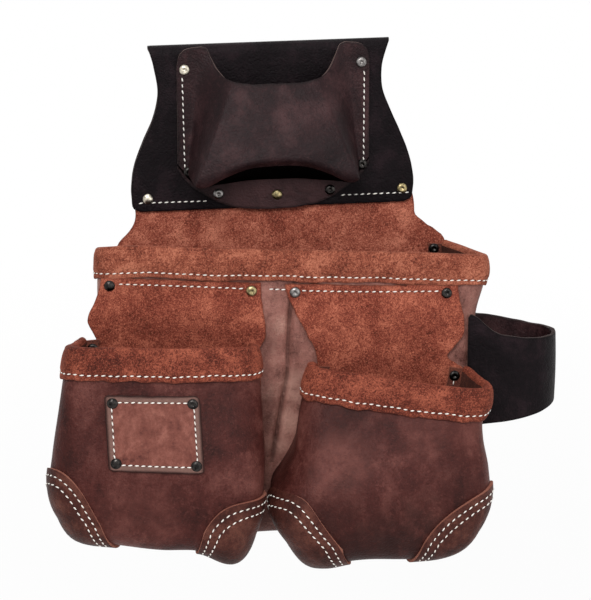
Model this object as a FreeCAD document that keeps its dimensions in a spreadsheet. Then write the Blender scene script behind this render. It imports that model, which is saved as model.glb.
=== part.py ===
import FreeCAD, Part
import math
import os

import Sketcher

# Electrician's leather tool pouch: a folded belt panel with a moulded tape holder, a suede back
# panel that hangs from it, a main bag on that panel, two outer pouches hung from the bag's front
# and a tool loop on its right side.  Millimetres.  +X is the wearer's left-to-right as seen from
# the front, the front faces -Y, +Z is up, and the origin is the middle of the belt tunnel.

# Driving dimensions.  Each one is set here and nowhere else.
SIZES = {
    # leather and clearances
    "strap_leather": 3.0,        # belt panel
    "body_leather": 2.6,         # bag bodies, tape holder, tool loop
    "suede_leather": 2.4,        # back panels and corner patches
    "binding_leather": 2.0,
    "swing_gap": 1.2,            # between a pouch and the bag it swings against; clears the rivet caps
    "hinge_gap": 0.6,            # slot in the leather at each hinge line
    # belt panel
    "fold_top": 56.0,
    "fold_half_width": 87.0,
    "waist_half_width": 81.0,
    "waist_height": 16.0,
    "flare_half_width": 104.0,
    "flare_height": -50.0,
    "flare_curve": 166.4,
    "panel_bottom": -61.0,
    "tunnel_gap": 6.0,
    "tunnel_height": 100.0,
    "panel_rivet_inset": 8.5,
    "panel_rivet_height": -54.5,
    # tape holder
    "holder_half_width": 70.0,
    "holder_ear_top": 48.0,
    "holder_flange_bottom": -45.0,
    "holder_mouth_half": 29.0,
    "holder_mouth_height": 28.0,
    "holder_mouth_slope": 20.0,
    "holder_ear_half": 35.0,
    "holder_ear_depth": 23.0,
    "holder_top_half": 38.0,
    "holder_low_half": 56.0,
    "holder_back_half": 58.0,
    "holder_top_depth": 27.0,
    "holder_low_depth": 43.0,
    "holder_low_height": -38.0,
    "holder_floor": -46.0,
    "holder_floor_half": 52.0,
    "holder_floor_depth": 29.0,
    "holder_tab_half": 54.0,
    "holder_tab_bottom": -66.0,
    "holder_tab_slant": 5.0,
    "holder_ridge_radius": 7.0,
    "holder_rivet_x": 64.0,
    "holder_rivet_high": 38.0,
    "holder_rivet_low": -35.0,
    "tab_rivet_spread": 42.0,
    # suede back panel
    "neck_line": -73.0,
    "neck_tuck": 12.0,
    "shoulder_height": -88.0,
    # main bag
    "bag_left": 131.0,
    "bag_right": 151.0,
    "bag_back_left": 114.0,
    "bag_back_right": 128.0,
    "bag_depth": 68.0,
    "bag_rim": -88.0,
    "bag_floor": -300.0,
    "bag_turn": 34.0,
    "bag_corner": 22.0,
    "bag_knee": 24.0,
    # rim bindings and seams
    "binding_height": 20.0,
    "flange": 14.0,
    # outer pouches
    "hang_line": -123.0,
    "hang_height": 12.0,
    "hang_rivet_drop": 4.5,
    "hang_rivet_inset": 7.0,
    "pouch_depth": 60.0,
    "pouch_knee": 20.0,
    "left_rim": -143.0,
    "left_mouth_left": 155.0,
    "left_mouth_right": 18.0,
    "left_belly": -230.0,
    "left_belly_left": 166.0,
    "left_floor": -293.0,
    "right_rim": -150.0,
    "right_rim_drop": 23.0,
    "right_mouth_left": 8.0,
    "right_mouth_right": 144.0,
    "right_belly": -246.0,
    "right_belly_left": 11.0,
    "right_floor": -302.0,
    "pouch_turn": 26.0,
    "patch_width": 46.0,
    "patch_height": 62.0,
    "patch_curve": 124.0,
    # label patch
    "label_centre": -95.0,
    "label_width": 64.0,
    "label_top": -173.0,
    "label_height": 55.0,
    "label_rivet_inset": 6.0,
    # tool loop
    "loop_reach": 52.0,
    "loop_middle": -184.0,
    "loop_height": 78.0,
    "loop_outer_height": 54.0,
    "loop_radius": 24.0,
    "loop_rivet_spread": 26.0,
    # rivets and thread
    "rivet_head": 3.9,
    "rivet_dome": 1.6,
    "rivet_shank": 1.3,
    "rivet_cap": 3.0,
    "rivet_cap_height": 0.8,
    "rivet_clearance": 0.1,
    "stitch_pitch": 5.0,
    "stitch_length": 3.6,
    "thread": 0.9,
    "seam_inset": 5.0,
}

V = FreeCAD.Vector
doc = FreeCAD.newDocument("tool_pouch")
sheet = doc.addObject("Spreadsheet::Sheet", "Sizes")
for row, (alias, value) in enumerate(SIZES.items(), start=1):
    sheet.set("A%d" % row, str(value))
    sheet.setAlias("A%d" % row, alias)
doc.recompute()

FINISHED = []


class Dim:
    """A length held both as a number and as the sheet expression that gives it."""

    def __init__(self, text, value):
        self.text = text
        self.value = value

    def _join(self, other, sign, value):
        return Dim("(%s %s %s)" % (self.text, sign, dim(other).text), value)

    def __add__(self, other):
        return self._join(other, "+", self.value + dim(other).value)

    def __sub__(self, other):
        return self._join(other, "-", self.value - dim(other).value)

    def __mul__(self, other):
        return self._join(other, "*", self.value * dim(other).value)

    def __truediv__(self, other):
        return self._join(other, "/", self.value / dim(other).value)

    def __neg__(self):
        return Dim("(0 - %s)" % self.text, -self.value)


def dim(value):
    """A plain number as a Dim; a Dim comes back as it is."""
    return value if isinstance(value, Dim) else Dim("(%r)" % float(value), float(value))


def size(alias):
    """The driving dimension of that name."""
    return Dim("Sizes.%s" % alias, float(sheet.get(alias)))


ZERO = dim(0)


def bind(thing, prop, length):
    """Ties a property to the sheet."""
    thing.setExpression(prop, dim(length).text)


def new_body(label):
    body = doc.addObject("PartDesign::Body", label)
    body.Label = label
    body.AllowCompound = True
    return body


def origin_plane(body, role):
    return next(plane for plane in body.Origin.OriginFeatures if plane.Role == role)


def sketch_on(body, name, role, offset):
    """An empty sketch on an origin plane, moved along the plane's normal by an offset."""
    sketch = body.newObject("Sketcher::SketchObject", name)
    sketch.AttachmentSupport = [(origin_plane(body, role), "")]
    sketch.MapMode = "FlatFace"
    offset = dim(offset)
    sketch.AttachmentOffset = FreeCAD.Placement(V(0, 0, offset.value), FreeCAD.Rotation())
    bind(sketch, "AttachmentOffset.Base.z", offset)
    return sketch


def arc_between(start, end, radius):
    """The short arc between two points; a positive radius bulges to the right of the way along."""
    chord = end - start
    middle = (start + end) * 0.5
    right = V(chord.y, -chord.x, 0).normalize() * math.copysign(1.0, radius)
    half = chord.Length / 2
    sagitta = abs(radius) - math.sqrt(radius * radius - half * half)
    return Part.Arc(start, middle + right * sagitta, end)


def draw_loop(sketch, corners, radii=None):
    """Draws a closed outline through corners, each a pair of Dims.

    radii maps the number of an edge to the radius of the arc that replaces its line.
    """
    radii = radii or {}
    points = [V(dim(x).value, dim(y).value, 0) for x, y in corners]
    first = sketch.GeometryCount
    count = len(points)
    ends = []
    for number, start in enumerate(points):
        end = points[(number + 1) % count]
        if number in radii:
            edge = arc_between(start, end, dim(radii[number]).value)
        else:
            edge = Part.LineSegment(start, end)
        place = sketch.addGeometry(edge)
        forward = sketch.getPoint(place, 1).distanceToPoint(start) < 1e-6
        ends.append((1, 2) if forward else (2, 1))
    for number in range(count):
        after = (number + 1) % count
        sketch.addConstraint(Sketcher.Constraint(
            "Coincident", first + number, ends[number][1], first + after, ends[after][0]))
    for number, (x, y) in enumerate(corners):
        for kind, along in (("DistanceX", dim(x)), ("DistanceY", dim(y))):
            index = sketch.addConstraint(Sketcher.Constraint(
                kind, -1, 1, first + number, ends[number][0], along.value))
            sketch.setExpression("Constraints[%d]" % index, along.text)
    for number, radius in radii.items():
        radius = dim(radius)
        sign = "" if radius.value > 0 else "-"
        index = sketch.addConstraint(Sketcher.Constraint(
            "Radius", first + number, abs(radius.value)))
        sketch.setExpression("Constraints[%d]" % index, "%s(%s)" % (sign, radius.text))


def draw_circles(sketch, centres, radius):
    """Draws equal circles at centres, each a pair of Dims."""
    for x, y in centres:
        place = sketch.addGeometry(Part.Circle(V(dim(x).value, dim(y).value, 0), V(0, 0, 1), radius.value))
        for kind, along in (("DistanceX", dim(x)), ("DistanceY", dim(y))):
            index = sketch.addConstraint(Sketcher.Constraint(kind, -1, 1, place, 3, along.value))
            sketch.setExpression("Constraints[%d]" % index, along.text)
        index = sketch.addConstraint(Sketcher.Constraint("Radius", place, radius.value))
        sketch.setExpression("Constraints[%d]" % index, radius.text)


def pad(body, sketch, length, midplane=False):
    feature = body.newObject("PartDesign::Pad", sketch.Name + "_pad")
    feature.Profile = sketch
    feature.Midplane = midplane
    bind(feature, "Length", length)
    return feature


def cut_through(body, sketch):
    """Cuts a sketch right through the body, both ways from its plane."""
    before = solid_volume(body)
    feature = body.newObject("PartDesign::Pocket", sketch.Name + "_cut")
    feature.Profile = sketch
    feature.Type = "ThroughAll"
    feature.Midplane = True
    must_remove(body, before, sketch.Name)


def cut_deep(body, sketch, depth, along_normal):
    """Cuts a sketch to a depth, along its plane's normal or against it."""
    before = solid_volume(body)
    feature = body.newObject("PartDesign::Pocket", sketch.Name + "_cut")
    feature.Profile = sketch
    feature.Reversed = along_normal
    bind(feature, "Length", depth)
    must_remove(body, before, sketch.Name)


def solid_volume(body):
    doc.recompute()
    return body.Shape.Volume


def must_remove(body, before, name):
    doc.recompute()
    if body.Shape.Volume > before - 0.01:
        raise RuntimeError("%s cuts nothing" % name)


def plate(label, corners, front, thickness, radii=None, holes=(), finish=True):
    """A flat piece of leather facing the front, from its back plane y to that less its thickness."""
    body = new_body(label)
    sketch = sketch_on(body, label + "_outline", "XZ_Plane", -dim(front))
    draw_loop(sketch, corners, radii)
    if holes:
        draw_circles(sketch, holes, RIVET_HOLE)
    pad(body, sketch, thickness)
    if finish:
        FINISHED.append(body)
    return body


def drill(body, name, centres, back, depth):
    """Rivet holes along Y, from the plane y = back forwards by a depth."""
    sketch = sketch_on(body, name, "XZ_Plane", -dim(back))
    draw_circles(sketch, centres, RIVET_HOLE)
    cut_deep(body, sketch, depth, along_normal=True)


def combine(kind, label, base, tool, finish=True):
    """Part::Cut or Part::Common of two objects."""
    result = doc.addObject(kind, label)
    result.Label = label
    result.Base = base
    result.Tool = tool
    if finish:
        FINISHED.append(result)
    return result


def group(label, pieces):
    """Separate solids of one kind under one name."""
    compound = doc.addObject("Part::Compound", label)
    compound.Label = label
    compound.Links = pieces
    FINISHED.append(compound)


# ---------------------------------------------------------------- rivets and thread

FACING = {
    "front": FreeCAD.Rotation(V(1, 0, 0), 90),
    "right": FreeCAD.Rotation(V(0, 1, 0), 90),
}
OUTWARD = {"front": (0, -1, 0), "right": (1, 0, 0)}

RIVET_HOLE = size("rivet_shank") + size("rivet_clearance")


def place(thing, facing, spot, shift):
    """Puts a primitive at a spot, moved outwards along its axis by a shift."""
    thing.Placement = FreeCAD.Placement(V(0, 0, 0), FACING[facing])
    for letter, coordinate, way in zip("xyz", spot, OUTWARD[facing]):
        bind(thing, "Placement.Base." + letter, dim(coordinate) + dim(shift) * way)


def rivet(name, spot, grip, facing="front"):
    """A domed tubular rivet whose head sits on the leather at a spot, through a grip of leather."""
    head = doc.addObject("Part::Sphere", name + "_head")
    dome = size("rivet_dome")
    ball = (size("rivet_head") * size("rivet_head") + dome * dome) / (dome * 2)
    bind(head, "Radius", ball)
    head.setExpression("Angle1", "asin(1 - %s / %s)" % (dome.text, ball.text))
    place(head, facing, spot, dome - ball)
    shank = doc.addObject("Part::Cylinder", name + "_shank")
    bind(shank, "Radius", size("rivet_shank"))
    bind(shank, "Height", grip)
    place(shank, facing, spot, -dim(grip))
    cap = doc.addObject("Part::Cylinder", name + "_cap")
    bind(cap, "Radius", size("rivet_cap"))
    bind(cap, "Height", size("rivet_cap_height"))
    place(cap, facing, spot, -(dim(grip) + size("rivet_cap_height")))
    whole = doc.addObject("Part::MultiFuse", name)
    whole.Shapes = [head, shank, cap]
    return whole


def stitch_row(name, start, length, surface, upright=False):
    """Straight stitches on a front face: small bars repeated along X, or along Z if upright."""
    body = new_body(name)
    sketch = sketch_on(body, name + "_stitch", "XZ_Plane", -dim(surface))
    long_side, short_side = size("stitch_length"), size("thread")
    x, z = start
    width, height = (short_side, long_side) if upright else (long_side, short_side)
    draw_loop(sketch, [(x, z), (dim(x) + width, z), (dim(x) + width, dim(z) + height), (x, dim(z) + height)])
    bar = pad(body, sketch, short_side / 2)
    doc.recompute()
    row_pattern = body.newObject("PartDesign::LinearPattern", name + "_row")
    row_pattern.Originals = [bar]
    row_pattern.Direction = (sketch, ["V_Axis" if upright else "H_Axis"])
    count = "floor(%s / Sizes.stitch_pitch)" % dim(length).text
    row_pattern.setExpression("Occurrences", count)
    row_pattern.setExpression("Length", "(%s - 1) * Sizes.stitch_pitch" % count)
    body.Tip = row_pattern
    return body


# ---------------------------------------------------------------- levels of the leather planes

STRAP = size("strap_leather")
LEATHER = size("body_leather")
SUEDE = size("suede_leather")
BINDING = size("binding_leather")
HALF_GAP = size("tunnel_gap") / 2

PANEL_BACK = -HALF_GAP                   # inner face of the belt panel's front layer
PANEL_FRONT = PANEL_BACK - STRAP         # its outer face
BAG_BACK = PANEL_BACK                    # the suede back panel's front face
BAG_FRONT = BAG_BACK - size("bag_depth")
HANGER_FRONT = BAG_FRONT - SUEDE
POUCH_PANEL_BACK = BAG_FRONT - size("swing_gap")
POUCH_BACK = POUCH_PANEL_BACK - SUEDE
POUCH_FRONT = POUCH_BACK - size("pouch_depth")
# from a bag's back corner in to the middle of a seam rivet, clear of the binding's inner layer
SEAM_RIVET_INSET = LEATHER + BINDING + size("rivet_head") + size("rivet_clearance") * 3

HALF_CIRCLE = 1.0001     # an arc's radius against half its chord, which it must just exceed
WASTE = 20               # how far a piece that cuts leather away reaches past its edge
ROW_MARGIN = size("rivet_head") * 1.5    # from a rivet's middle to the first stitch
CORNER_SHARE = 0.8       # of the wall between a bag's knee and its front, taken by the corner's bend
FLOOR_SHARE = 0.72       # of a bag's depth, left at its floor where the front turns under


# ---------------------------------------------------------------- belt panel

def belt_panel():
    """One piece of leather folded over at the top, hourglass-shaped seen from the front."""
    body = new_body("belt_panel")
    top = size("fold_top")
    bottom = size("panel_bottom")
    outer_bend = HALF_GAP + STRAP
    bend_height = top - outer_bend
    stop = top - STRAP - size("tunnel_height")
    tuck = stop - HALF_GAP
    rear_in = HALF_GAP
    rear_out = HALF_GAP + STRAP
    seam_out = PANEL_BACK + SUEDE + STRAP
    seam_in = PANEL_BACK + SUEDE
    profile = sketch_on(body, "fold_profile", "YZ_Plane", 0)
    draw_loop(
        profile,
        [(PANEL_FRONT, bottom), (PANEL_BACK, bottom), (PANEL_BACK, bend_height),
         (rear_in, bend_height), (rear_in, stop), (seam_in, tuck), (seam_in, bottom),
         (seam_out, bottom), (seam_out, tuck), (rear_out, stop), (rear_out, bend_height),
         (PANEL_FRONT, bend_height)],
        {2: -HALF_GAP * HALF_CIRCLE, 10: outer_bend * HALF_CIRCLE})
    pad(body, profile, size("flare_half_width") * 2, midplane=True)
    doc.recompute()
    waste = sketch_on(body, "side_waste", "XZ_Plane", 0)
    for side in (-1, 1):
        far = (size("flare_half_width") + WASTE) * side
        draw_loop(
            waste,
            [(size("fold_half_width") * side, top + 1), (size("waist_half_width") * side, size("waist_height")),
             (size("flare_half_width") * side, size("flare_height")), (far, size("flare_height")), (far, top + 1)],
            {1: size("flare_curve") * -side})
    cut_through(body, waste)
    corners = [(size("flare_half_width") * side - size("panel_rivet_inset") * side, size("panel_rivet_height"))
               for side in (-1, 1)]
    drill(body, "corner_rivet_holes", corners, seam_out, STRAP * 2 + SUEDE)
    drill(body, "holder_rivet_holes", HOLDER_RIVETS, PANEL_BACK, STRAP)
    drill(body, "tab_rivet_holes", TAB_RIVETS, seam_out, STRAP * 2 + SUEDE)
    FINISHED.append(body)
    group("belt_panel_rivets", [
        rivet("panel_rivet_%d" % number, (x, PANEL_FRONT, z), STRAP * 2 + SUEDE)
        for number, (x, z) in enumerate(corners)])
    row = size("panel_bottom") + size("seam_inset")
    run = size("flare_half_width") - size("holder_tab_half") - size("panel_rivet_inset") * 2
    group("belt_panel_thread", [
        stitch_row("panel_row_left", (-(size("holder_tab_half") + run), row), run, PANEL_FRONT),
        stitch_row("panel_row_right", (size("holder_tab_half") + size("thread"), row), run, PANEL_FRONT)])
    return corners


HOLDER_RIVETS = [(size("holder_rivet_x") * side, size(height))
                 for side in (-1, 1) for height in ("holder_rivet_high", "holder_rivet_low")]
TAB_RIVETS = [(size("tab_rivet_spread") * step, size("panel_bottom") + size("seam_inset") + 1)
              for step in (-1, 0, 1)]


# ---------------------------------------------------------------- moulded tape holder

def trapezoid(half_back, half_front, depth, inset):
    """Section of the tape holder at one height, shrunk by an inset all round but at the back."""
    front = PANEL_FRONT - depth + inset
    radius = size("holder_ridge_radius") - inset
    corners = [
        (-(half_back - inset), PANEL_FRONT), (-(half_front - inset), front + radius),
        (-(half_front - inset - radius), front), (half_front - inset - radius, front),
        (half_front - inset, front + radius), (half_back - inset, PANEL_FRONT)]
    return corners, {1: radius, 3: radius}


def tape_holder():
    """One moulded piece: flat flanges, a bulge that deepens downwards, and a riveted bottom tab."""
    body = new_body("tape_holder")
    half, ear = size("holder_half_width"), size("holder_ear_top")
    low, tab = size("holder_flange_bottom"), size("holder_tab_bottom")
    flange = sketch_on(body, "flange_outline", "XZ_Plane", -PANEL_FRONT)
    tab_half = size("holder_tab_half")
    lip = tab_half - size("holder_tab_slant")
    lip_height = size("panel_bottom") + size("holder_tab_slant") / 2
    sag = lip_height - tab
    draw_loop(
        flange,
        [(-half, ear), (-half, low), (-tab_half, low), (-lip, lip_height), (lip, lip_height),
         (tab_half, low), (half, low), (half, ear)],
        {3: (lip * lip + sag * sag) / (sag * 2)})
    draw_circles(flange, HOLDER_RIVETS + TAB_RIVETS, RIVET_HOLE)
    pad(body, flange, LEATHER)
    levels = [
        (ear, size("holder_ear_half"), size("holder_ear_depth")),
        (size("holder_mouth_height"), size("holder_top_half"), size("holder_top_depth")),
        (size("holder_low_height"), size("holder_low_half"), size("holder_low_depth")),
        (size("holder_floor"), size("holder_floor_half"), size("holder_floor_depth"))]
    for kind, inset in (("AdditiveLoft", ZERO), ("SubtractiveLoft", LEATHER)):
        sections = []
        for number, (height, half_front, depth) in enumerate(levels):
            lift = inset if number == len(levels) - 1 else ZERO
            section = sketch_on(body, "holder_%s_%d" % (kind, number), "XY_Plane", height + lift)
            draw_loop(section, *trapezoid(size("holder_back_half"), half_front, depth, inset))
            sections.append(section)
        before = solid_volume(body)
        loft = body.newObject("PartDesign::" + kind, "holder_" + kind)
        loft.Profile = sections[0]
        loft.Sections = sections[1:]
        loft.Ruled = True
        doc.recompute()
        if kind == "SubtractiveLoft" and body.Shape.Volume > before - 1:
            raise RuntimeError("the tape holder isn't hollow")
    mouth = sketch_on(body, "holder_mouth", "XZ_Plane", 0)
    mouth_half, slope = size("holder_mouth_half"), size("holder_mouth_slope")
    base = size("holder_mouth_height")
    draw_loop(mouth, [(-mouth_half, base), (mouth_half, base), (mouth_half + slope, ear + 1),
                      (-(mouth_half + slope), ear + 1)])
    cut_through(body, mouth)
    FINISHED.append(body)
    front = PANEL_FRONT - LEATHER
    group("tape_holder_rivets", [
        rivet("holder_rivet_%d" % number, (x, front, z), LEATHER + STRAP)
        for number, (x, z) in enumerate(HOLDER_RIVETS)])
    group("tape_holder_tab_rivets", [
        rivet("tab_rivet_%d" % number, (x, front, z), LEATHER + STRAP * 2 + SUEDE)
        for number, (x, z) in enumerate(TAB_RIVETS)])
    edge = size("holder_half_width") - size("stitch_length")
    run = size("holder_rivet_high") - size("holder_rivet_low") - size("rivet_head") * 3
    start = size("holder_rivet_low") + size("rivet_head") * 1.5
    group("tape_holder_thread", [
        stitch_row("holder_row_left", (-edge, start), run, front, upright=True),
        stitch_row("holder_row_right", (edge - size("thread"), start), run, front, upright=True)])


# ---------------------------------------------------------------- suede back panel

def back_panel(corner_rivets, flange_rivets):
    """The suede panel: a neck tucked into the belt panel, and the wide panel that hangs below."""
    rear = BAG_BACK + SUEDE
    line, tuck = size("neck_line"), size("panel_bottom") + size("neck_tuck")
    neck_half = size("flare_half_width") - 1
    line_half = neck_half + 4
    plate("back_panel_neck",
          [(-neck_half, tuck), (-line_half, line + size("hinge_gap") / 2),
           (line_half, line + size("hinge_gap") / 2), (neck_half, tuck)],
          rear, SUEDE, holes=corner_rivets + TAB_RIVETS)
    left, right = size("bag_back_left"), size("bag_back_right")
    floor, turn = size("bag_floor"), size("bag_corner")
    shoulder = size("shoulder_height")
    plate("back_panel",
          [(-line_half, line - size("hinge_gap") / 2), (-left, shoulder), (-left, floor + turn),
           (-left + turn, floor), (right - turn, floor), (right, floor + turn), (right, shoulder),
           (line_half, line - size("hinge_gap") / 2)],
          rear, SUEDE, radii={2: turn, 4: turn}, holes=flange_rivets)


# ---------------------------------------------------------------- bags

class Bag:
    """A leather bag wrapped round three sides, with its seam flanges turned in at the back.

    Each level is (height, back left, back right, left, right, front, corner radius); every value
    but the height is a coordinate at the leather's outer face.  The back plane is common.
    """

    def __init__(self, name, back, knee, levels):
        self.name = name
        self.back = back
        self.knee = knee
        self.levels = levels

    def section(self, level, inset, back):
        """One closed section, shrunk by an inset (grown by a negative one)."""
        height, back_left, back_right, left, right, front, radius = level
        bend = self.back - self.knee
        inner = radius - inset
        corners = [
            (back_left + inset, back), (left + inset, bend), (left + inset, front + radius),
            (left + radius, front + inset), (right - radius, front + inset),
            (right - inset, front + radius), (right - inset, bend), (back_right - inset, back)]
        return corners, {2: inner, 4: inner}

    def loft(self, body, kind, label, inset, back, lift):
        """Lofts through the sections; the lowest one is lifted, or dropped by a negative lift."""
        sections = []
        for number, level in enumerate(self.levels):
            last = number == len(self.levels) - 1
            height = level[0] + lift if last else level[0]
            section = sketch_on(body, "%s_%s_%d" % (self.name, label, number), "XY_Plane", height)
            draw_loop(section, *self.section(level, dim(inset), back))
            sections.append(section)
        before = solid_volume(body) if body.Tip else 0.0
        loft = body.newObject("PartDesign::" + kind, "%s_%s" % (self.name, label))
        loft.Profile = sections[0]
        loft.Sections = sections[1:]
        loft.Ruled = True
        doc.recompute()
        if kind == "SubtractiveLoft" and body.Shape.Volume > before - 1:
            raise RuntimeError("%s isn't hollow" % self.name)

    def shell(self, label, rim, window_rivets=(), front_holes=()):
        """The wrapped leather: hollow, with a window between the flanges and a cut rim."""
        body = new_body(label)
        self.loft(body, "AdditiveLoft", "outer", ZERO, self.back, ZERO)
        self.loft(body, "SubtractiveLoft", "inner", LEATHER, self.back - LEATHER, LEATHER)
        top = self.levels[0]
        floor = self.levels[-1]
        flange = size("flange")
        window = sketch_on(body, self.name + "_window", "XZ_Plane", -self.back)
        draw_loop(window, [
            (top[1] + flange, top[0] + 1), (floor[1] + flange, floor[0] + flange),
            (floor[2] - flange, floor[0] + flange), (top[2] - flange, top[0] + 1)])
        cut_deep(body, window, LEATHER, along_normal=True)
        if rim:
            waste = sketch_on(body, self.name + "_rim", "XZ_Plane", 0)
            draw_loop(waste, rim)
            cut_through(body, waste)
        if window_rivets:
            drill(body, self.name + "_flange_holes", window_rivets, self.back, LEATHER)
        if front_holes:
            drill(body, self.name + "_front_holes", front_holes, top[5] + LEATHER, LEATHER)
        FINISHED.append(body)
        return body

    def binding(self, label, shell, above, below):
        """Suede folded over the rim: a U-shaped band cut to the rim's line, less the leather."""
        blank = new_body(label + "_blank")
        top = self.levels[0]
        outer, arcs = self.section(top, -BINDING, self.back)
        inner, _ = self.section(top, LEATHER + BINDING, self.back)
        corners = outer + inner[::-1]
        radius = top[6] - LEATHER - BINDING
        sketch = sketch_on(blank, self.name + "_band", "XY_Plane", top[0] + BINDING)
        draw_loop(sketch, corners, {**arcs, 10: -radius, 12: -radius})
        feature = pad(blank, sketch, self.levels[0][0] - self.levels[1][0] + BINDING)
        feature.Reversed = True
        for name, waste in (("above", above), ("below", below)):
            if waste:
                cut = sketch_on(blank, "%s_%s" % (self.name, name), "XZ_Plane", 0)
                draw_loop(cut, waste)
                cut_through(blank, cut)
        combine("Part::Cut", label, blank, shell)


def rim_polygon(points, shift, far):
    """The region beyond a rim line moved by a shift, closed at a far height."""
    line = [(x, dim(z) + shift) for x, z in points]
    return line + [(points[-1][0], far), (points[0][0], far)]


def corner_patches(bag, prefix):
    """Leather patches over the two lower front corners of a pouch."""
    core = new_body(prefix + "_core")
    bag.loft(core, "AdditiveLoft", "core", ZERO, bag.back, ZERO)
    skin = new_body(prefix + "_patch_skin")
    bag.loft(skin, "AdditiveLoft", "skin", -SUEDE, bag.back, -SUEDE)
    rind = combine("Part::Cut", prefix + "_patch_rind", skin, core, finish=False)
    floor = bag.levels[-1]
    belly = bag.levels[-3]
    low = floor[0] - SUEDE * 2
    high = floor[0] + size("patch_height")
    sides = (("left", belly[3] - SUEDE * 2, 1), ("right", belly[4] + SUEDE * 2, -1))
    for side, edge, way in sides:
        region = new_body("%s_%s_patch_region" % (prefix, side))
        sketch = sketch_on(region, region.Name + "_outline", "XZ_Plane", -(bag.back - bag.knee))
        reach = edge + size("patch_width") * way
        draw_loop(sketch, [(edge, low), (reach, low), (reach, low + size("patch_height") / 3), (edge, high)],
                  {2: size("patch_curve") * -way})
        pad(region, sketch, size("pouch_depth") + SUEDE)
        combine("Part::Common", "%s_%s_patch" % (prefix, side), rind, region)


def main_bag():
    """The bag sewn to the suede back panel, with its binding and the rivets of its side seams."""
    left, right = -size("bag_left"), size("bag_right")
    back_left, back_right = -size("bag_back_left"), size("bag_back_right")
    radius, rim, floor = size("bag_corner"), size("bag_rim"), size("bag_floor")
    turn = size("bag_turn")
    floor_depth = size("bag_depth") * FLOOR_SHARE
    straight = rim - size("binding_height")
    bag = Bag("bag", BAG_BACK, size("bag_knee"), [
        (rim, back_left, back_right, left, right, BAG_FRONT, radius),
        (straight, back_left, back_right, left, right, BAG_FRONT, radius),
        (floor + turn, back_left, back_right, left, right, BAG_FRONT, radius),
        (floor, back_left + turn / 3, back_right - turn / 3, left + turn / 2, right - turn / 2,
         BAG_BACK - floor_depth, (floor_depth - size("bag_knee")) * CORNER_SHARE)])
    seam = SEAM_RIVET_INSET
    side_rivets = [(back_left + seam, rim - size("flange")), (back_right - seam, rim - size("flange"))]
    shell = bag.shell("main_bag_body", None, side_rivets, HANG_RIVETS)
    loop_holes = sketch_on(shell, "loop_rivet_holes", "YZ_Plane", right)
    draw_circles(loop_holes, LOOP_RIVETS, RIVET_HOLE)
    cut_deep(shell, loop_holes, LEATHER, along_normal=False)
    bag.binding("main_bag_binding", shell, None, None)
    group("main_bag_rivets", [
        rivet("side_rivet_%d" % number, (x, BAG_BACK - LEATHER, z), LEATHER + SUEDE)
        for number, (x, z) in enumerate(side_rivets)])
    return side_rivets


# ---------------------------------------------------------------- outer pouches

PANEL_EDGES = {
    "left": (-(size("left_mouth_left") - size("pouch_knee")), -(size("left_mouth_right") - 4)),
    "right": (size("right_mouth_left") + 2, size("right_mouth_right") - size("pouch_knee")),
}
HANG_ROW = size("hang_line") + size("hang_height") - size("hang_rivet_drop")
HANG_RIVETS = [(edge + size("hang_rivet_inset") * way, HANG_ROW)
               for side in ("left", "right") for edge, way in zip(PANEL_EDGES[side], (1, -1))]


def outer_pouch(side, levels, rim):
    """A pouch on its own suede panel, which bends just under the row that sews it to the bag."""
    prefix = side + "_pouch"
    edge_left, edge_right = PANEL_EDGES[side]
    line, gap = size("hang_line"), size("hinge_gap") / 2
    top = line + size("hang_height")
    floor = levels[-1][0]
    rivets = HANG_RIVETS[:2] if side == "left" else HANG_RIVETS[2:]
    plate(prefix + "_hanger", [(edge_left, top), (edge_left, line + gap), (edge_right, line + gap), (edge_right, top)],
          BAG_FRONT, SUEDE, holes=rivets)
    seam = SEAM_RIVET_INSET
    rim_left, rim_right = levels[0][1], levels[0][2]
    seam_height = levels[1][0] + size("binding_height") / 2
    seam_rivets = [(rim_left + seam, seam_height), (rim_right - seam, seam_height)]
    plate(prefix + "_panel",
          [(edge_left, line - gap), (rim_left, levels[1][0]), (levels[-1][1], floor),
           (levels[-1][2], floor), (rim_right, levels[1][0]), (edge_right, line - gap)],
          POUCH_PANEL_BACK, SUEDE, holes=seam_rivets)
    bag = Bag(side, POUCH_BACK, size("pouch_knee"), levels)
    high = levels[0][0] + 10
    low = levels[1][0] - 10
    shell = bag.shell(prefix + "_body", rim_polygon(rim, ZERO, high) if rim else None, seam_rivets,
                      LABEL_RIVETS if side == "left" else ())
    if rim:
        bag.binding(prefix + "_binding", shell, rim_polygon(rim, BINDING, high),
                    rim_polygon(rim, -size("binding_height"), low))
    else:
        bag.binding(prefix + "_binding", shell, None, None)
    corner_patches(bag, prefix)
    group(prefix + "_rivets", [
        rivet("%s_seam_rivet_%d" % (side, number), (x, POUCH_BACK - LEATHER, z), LEATHER + SUEDE)
        for number, (x, z) in enumerate(seam_rivets)])


BELLY_DRAW = 1 / 8       # of a pouch's turn-under, drawn in at each side where the turn begins
FLOOR_DRAW = 0.8         # and where it ends


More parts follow.
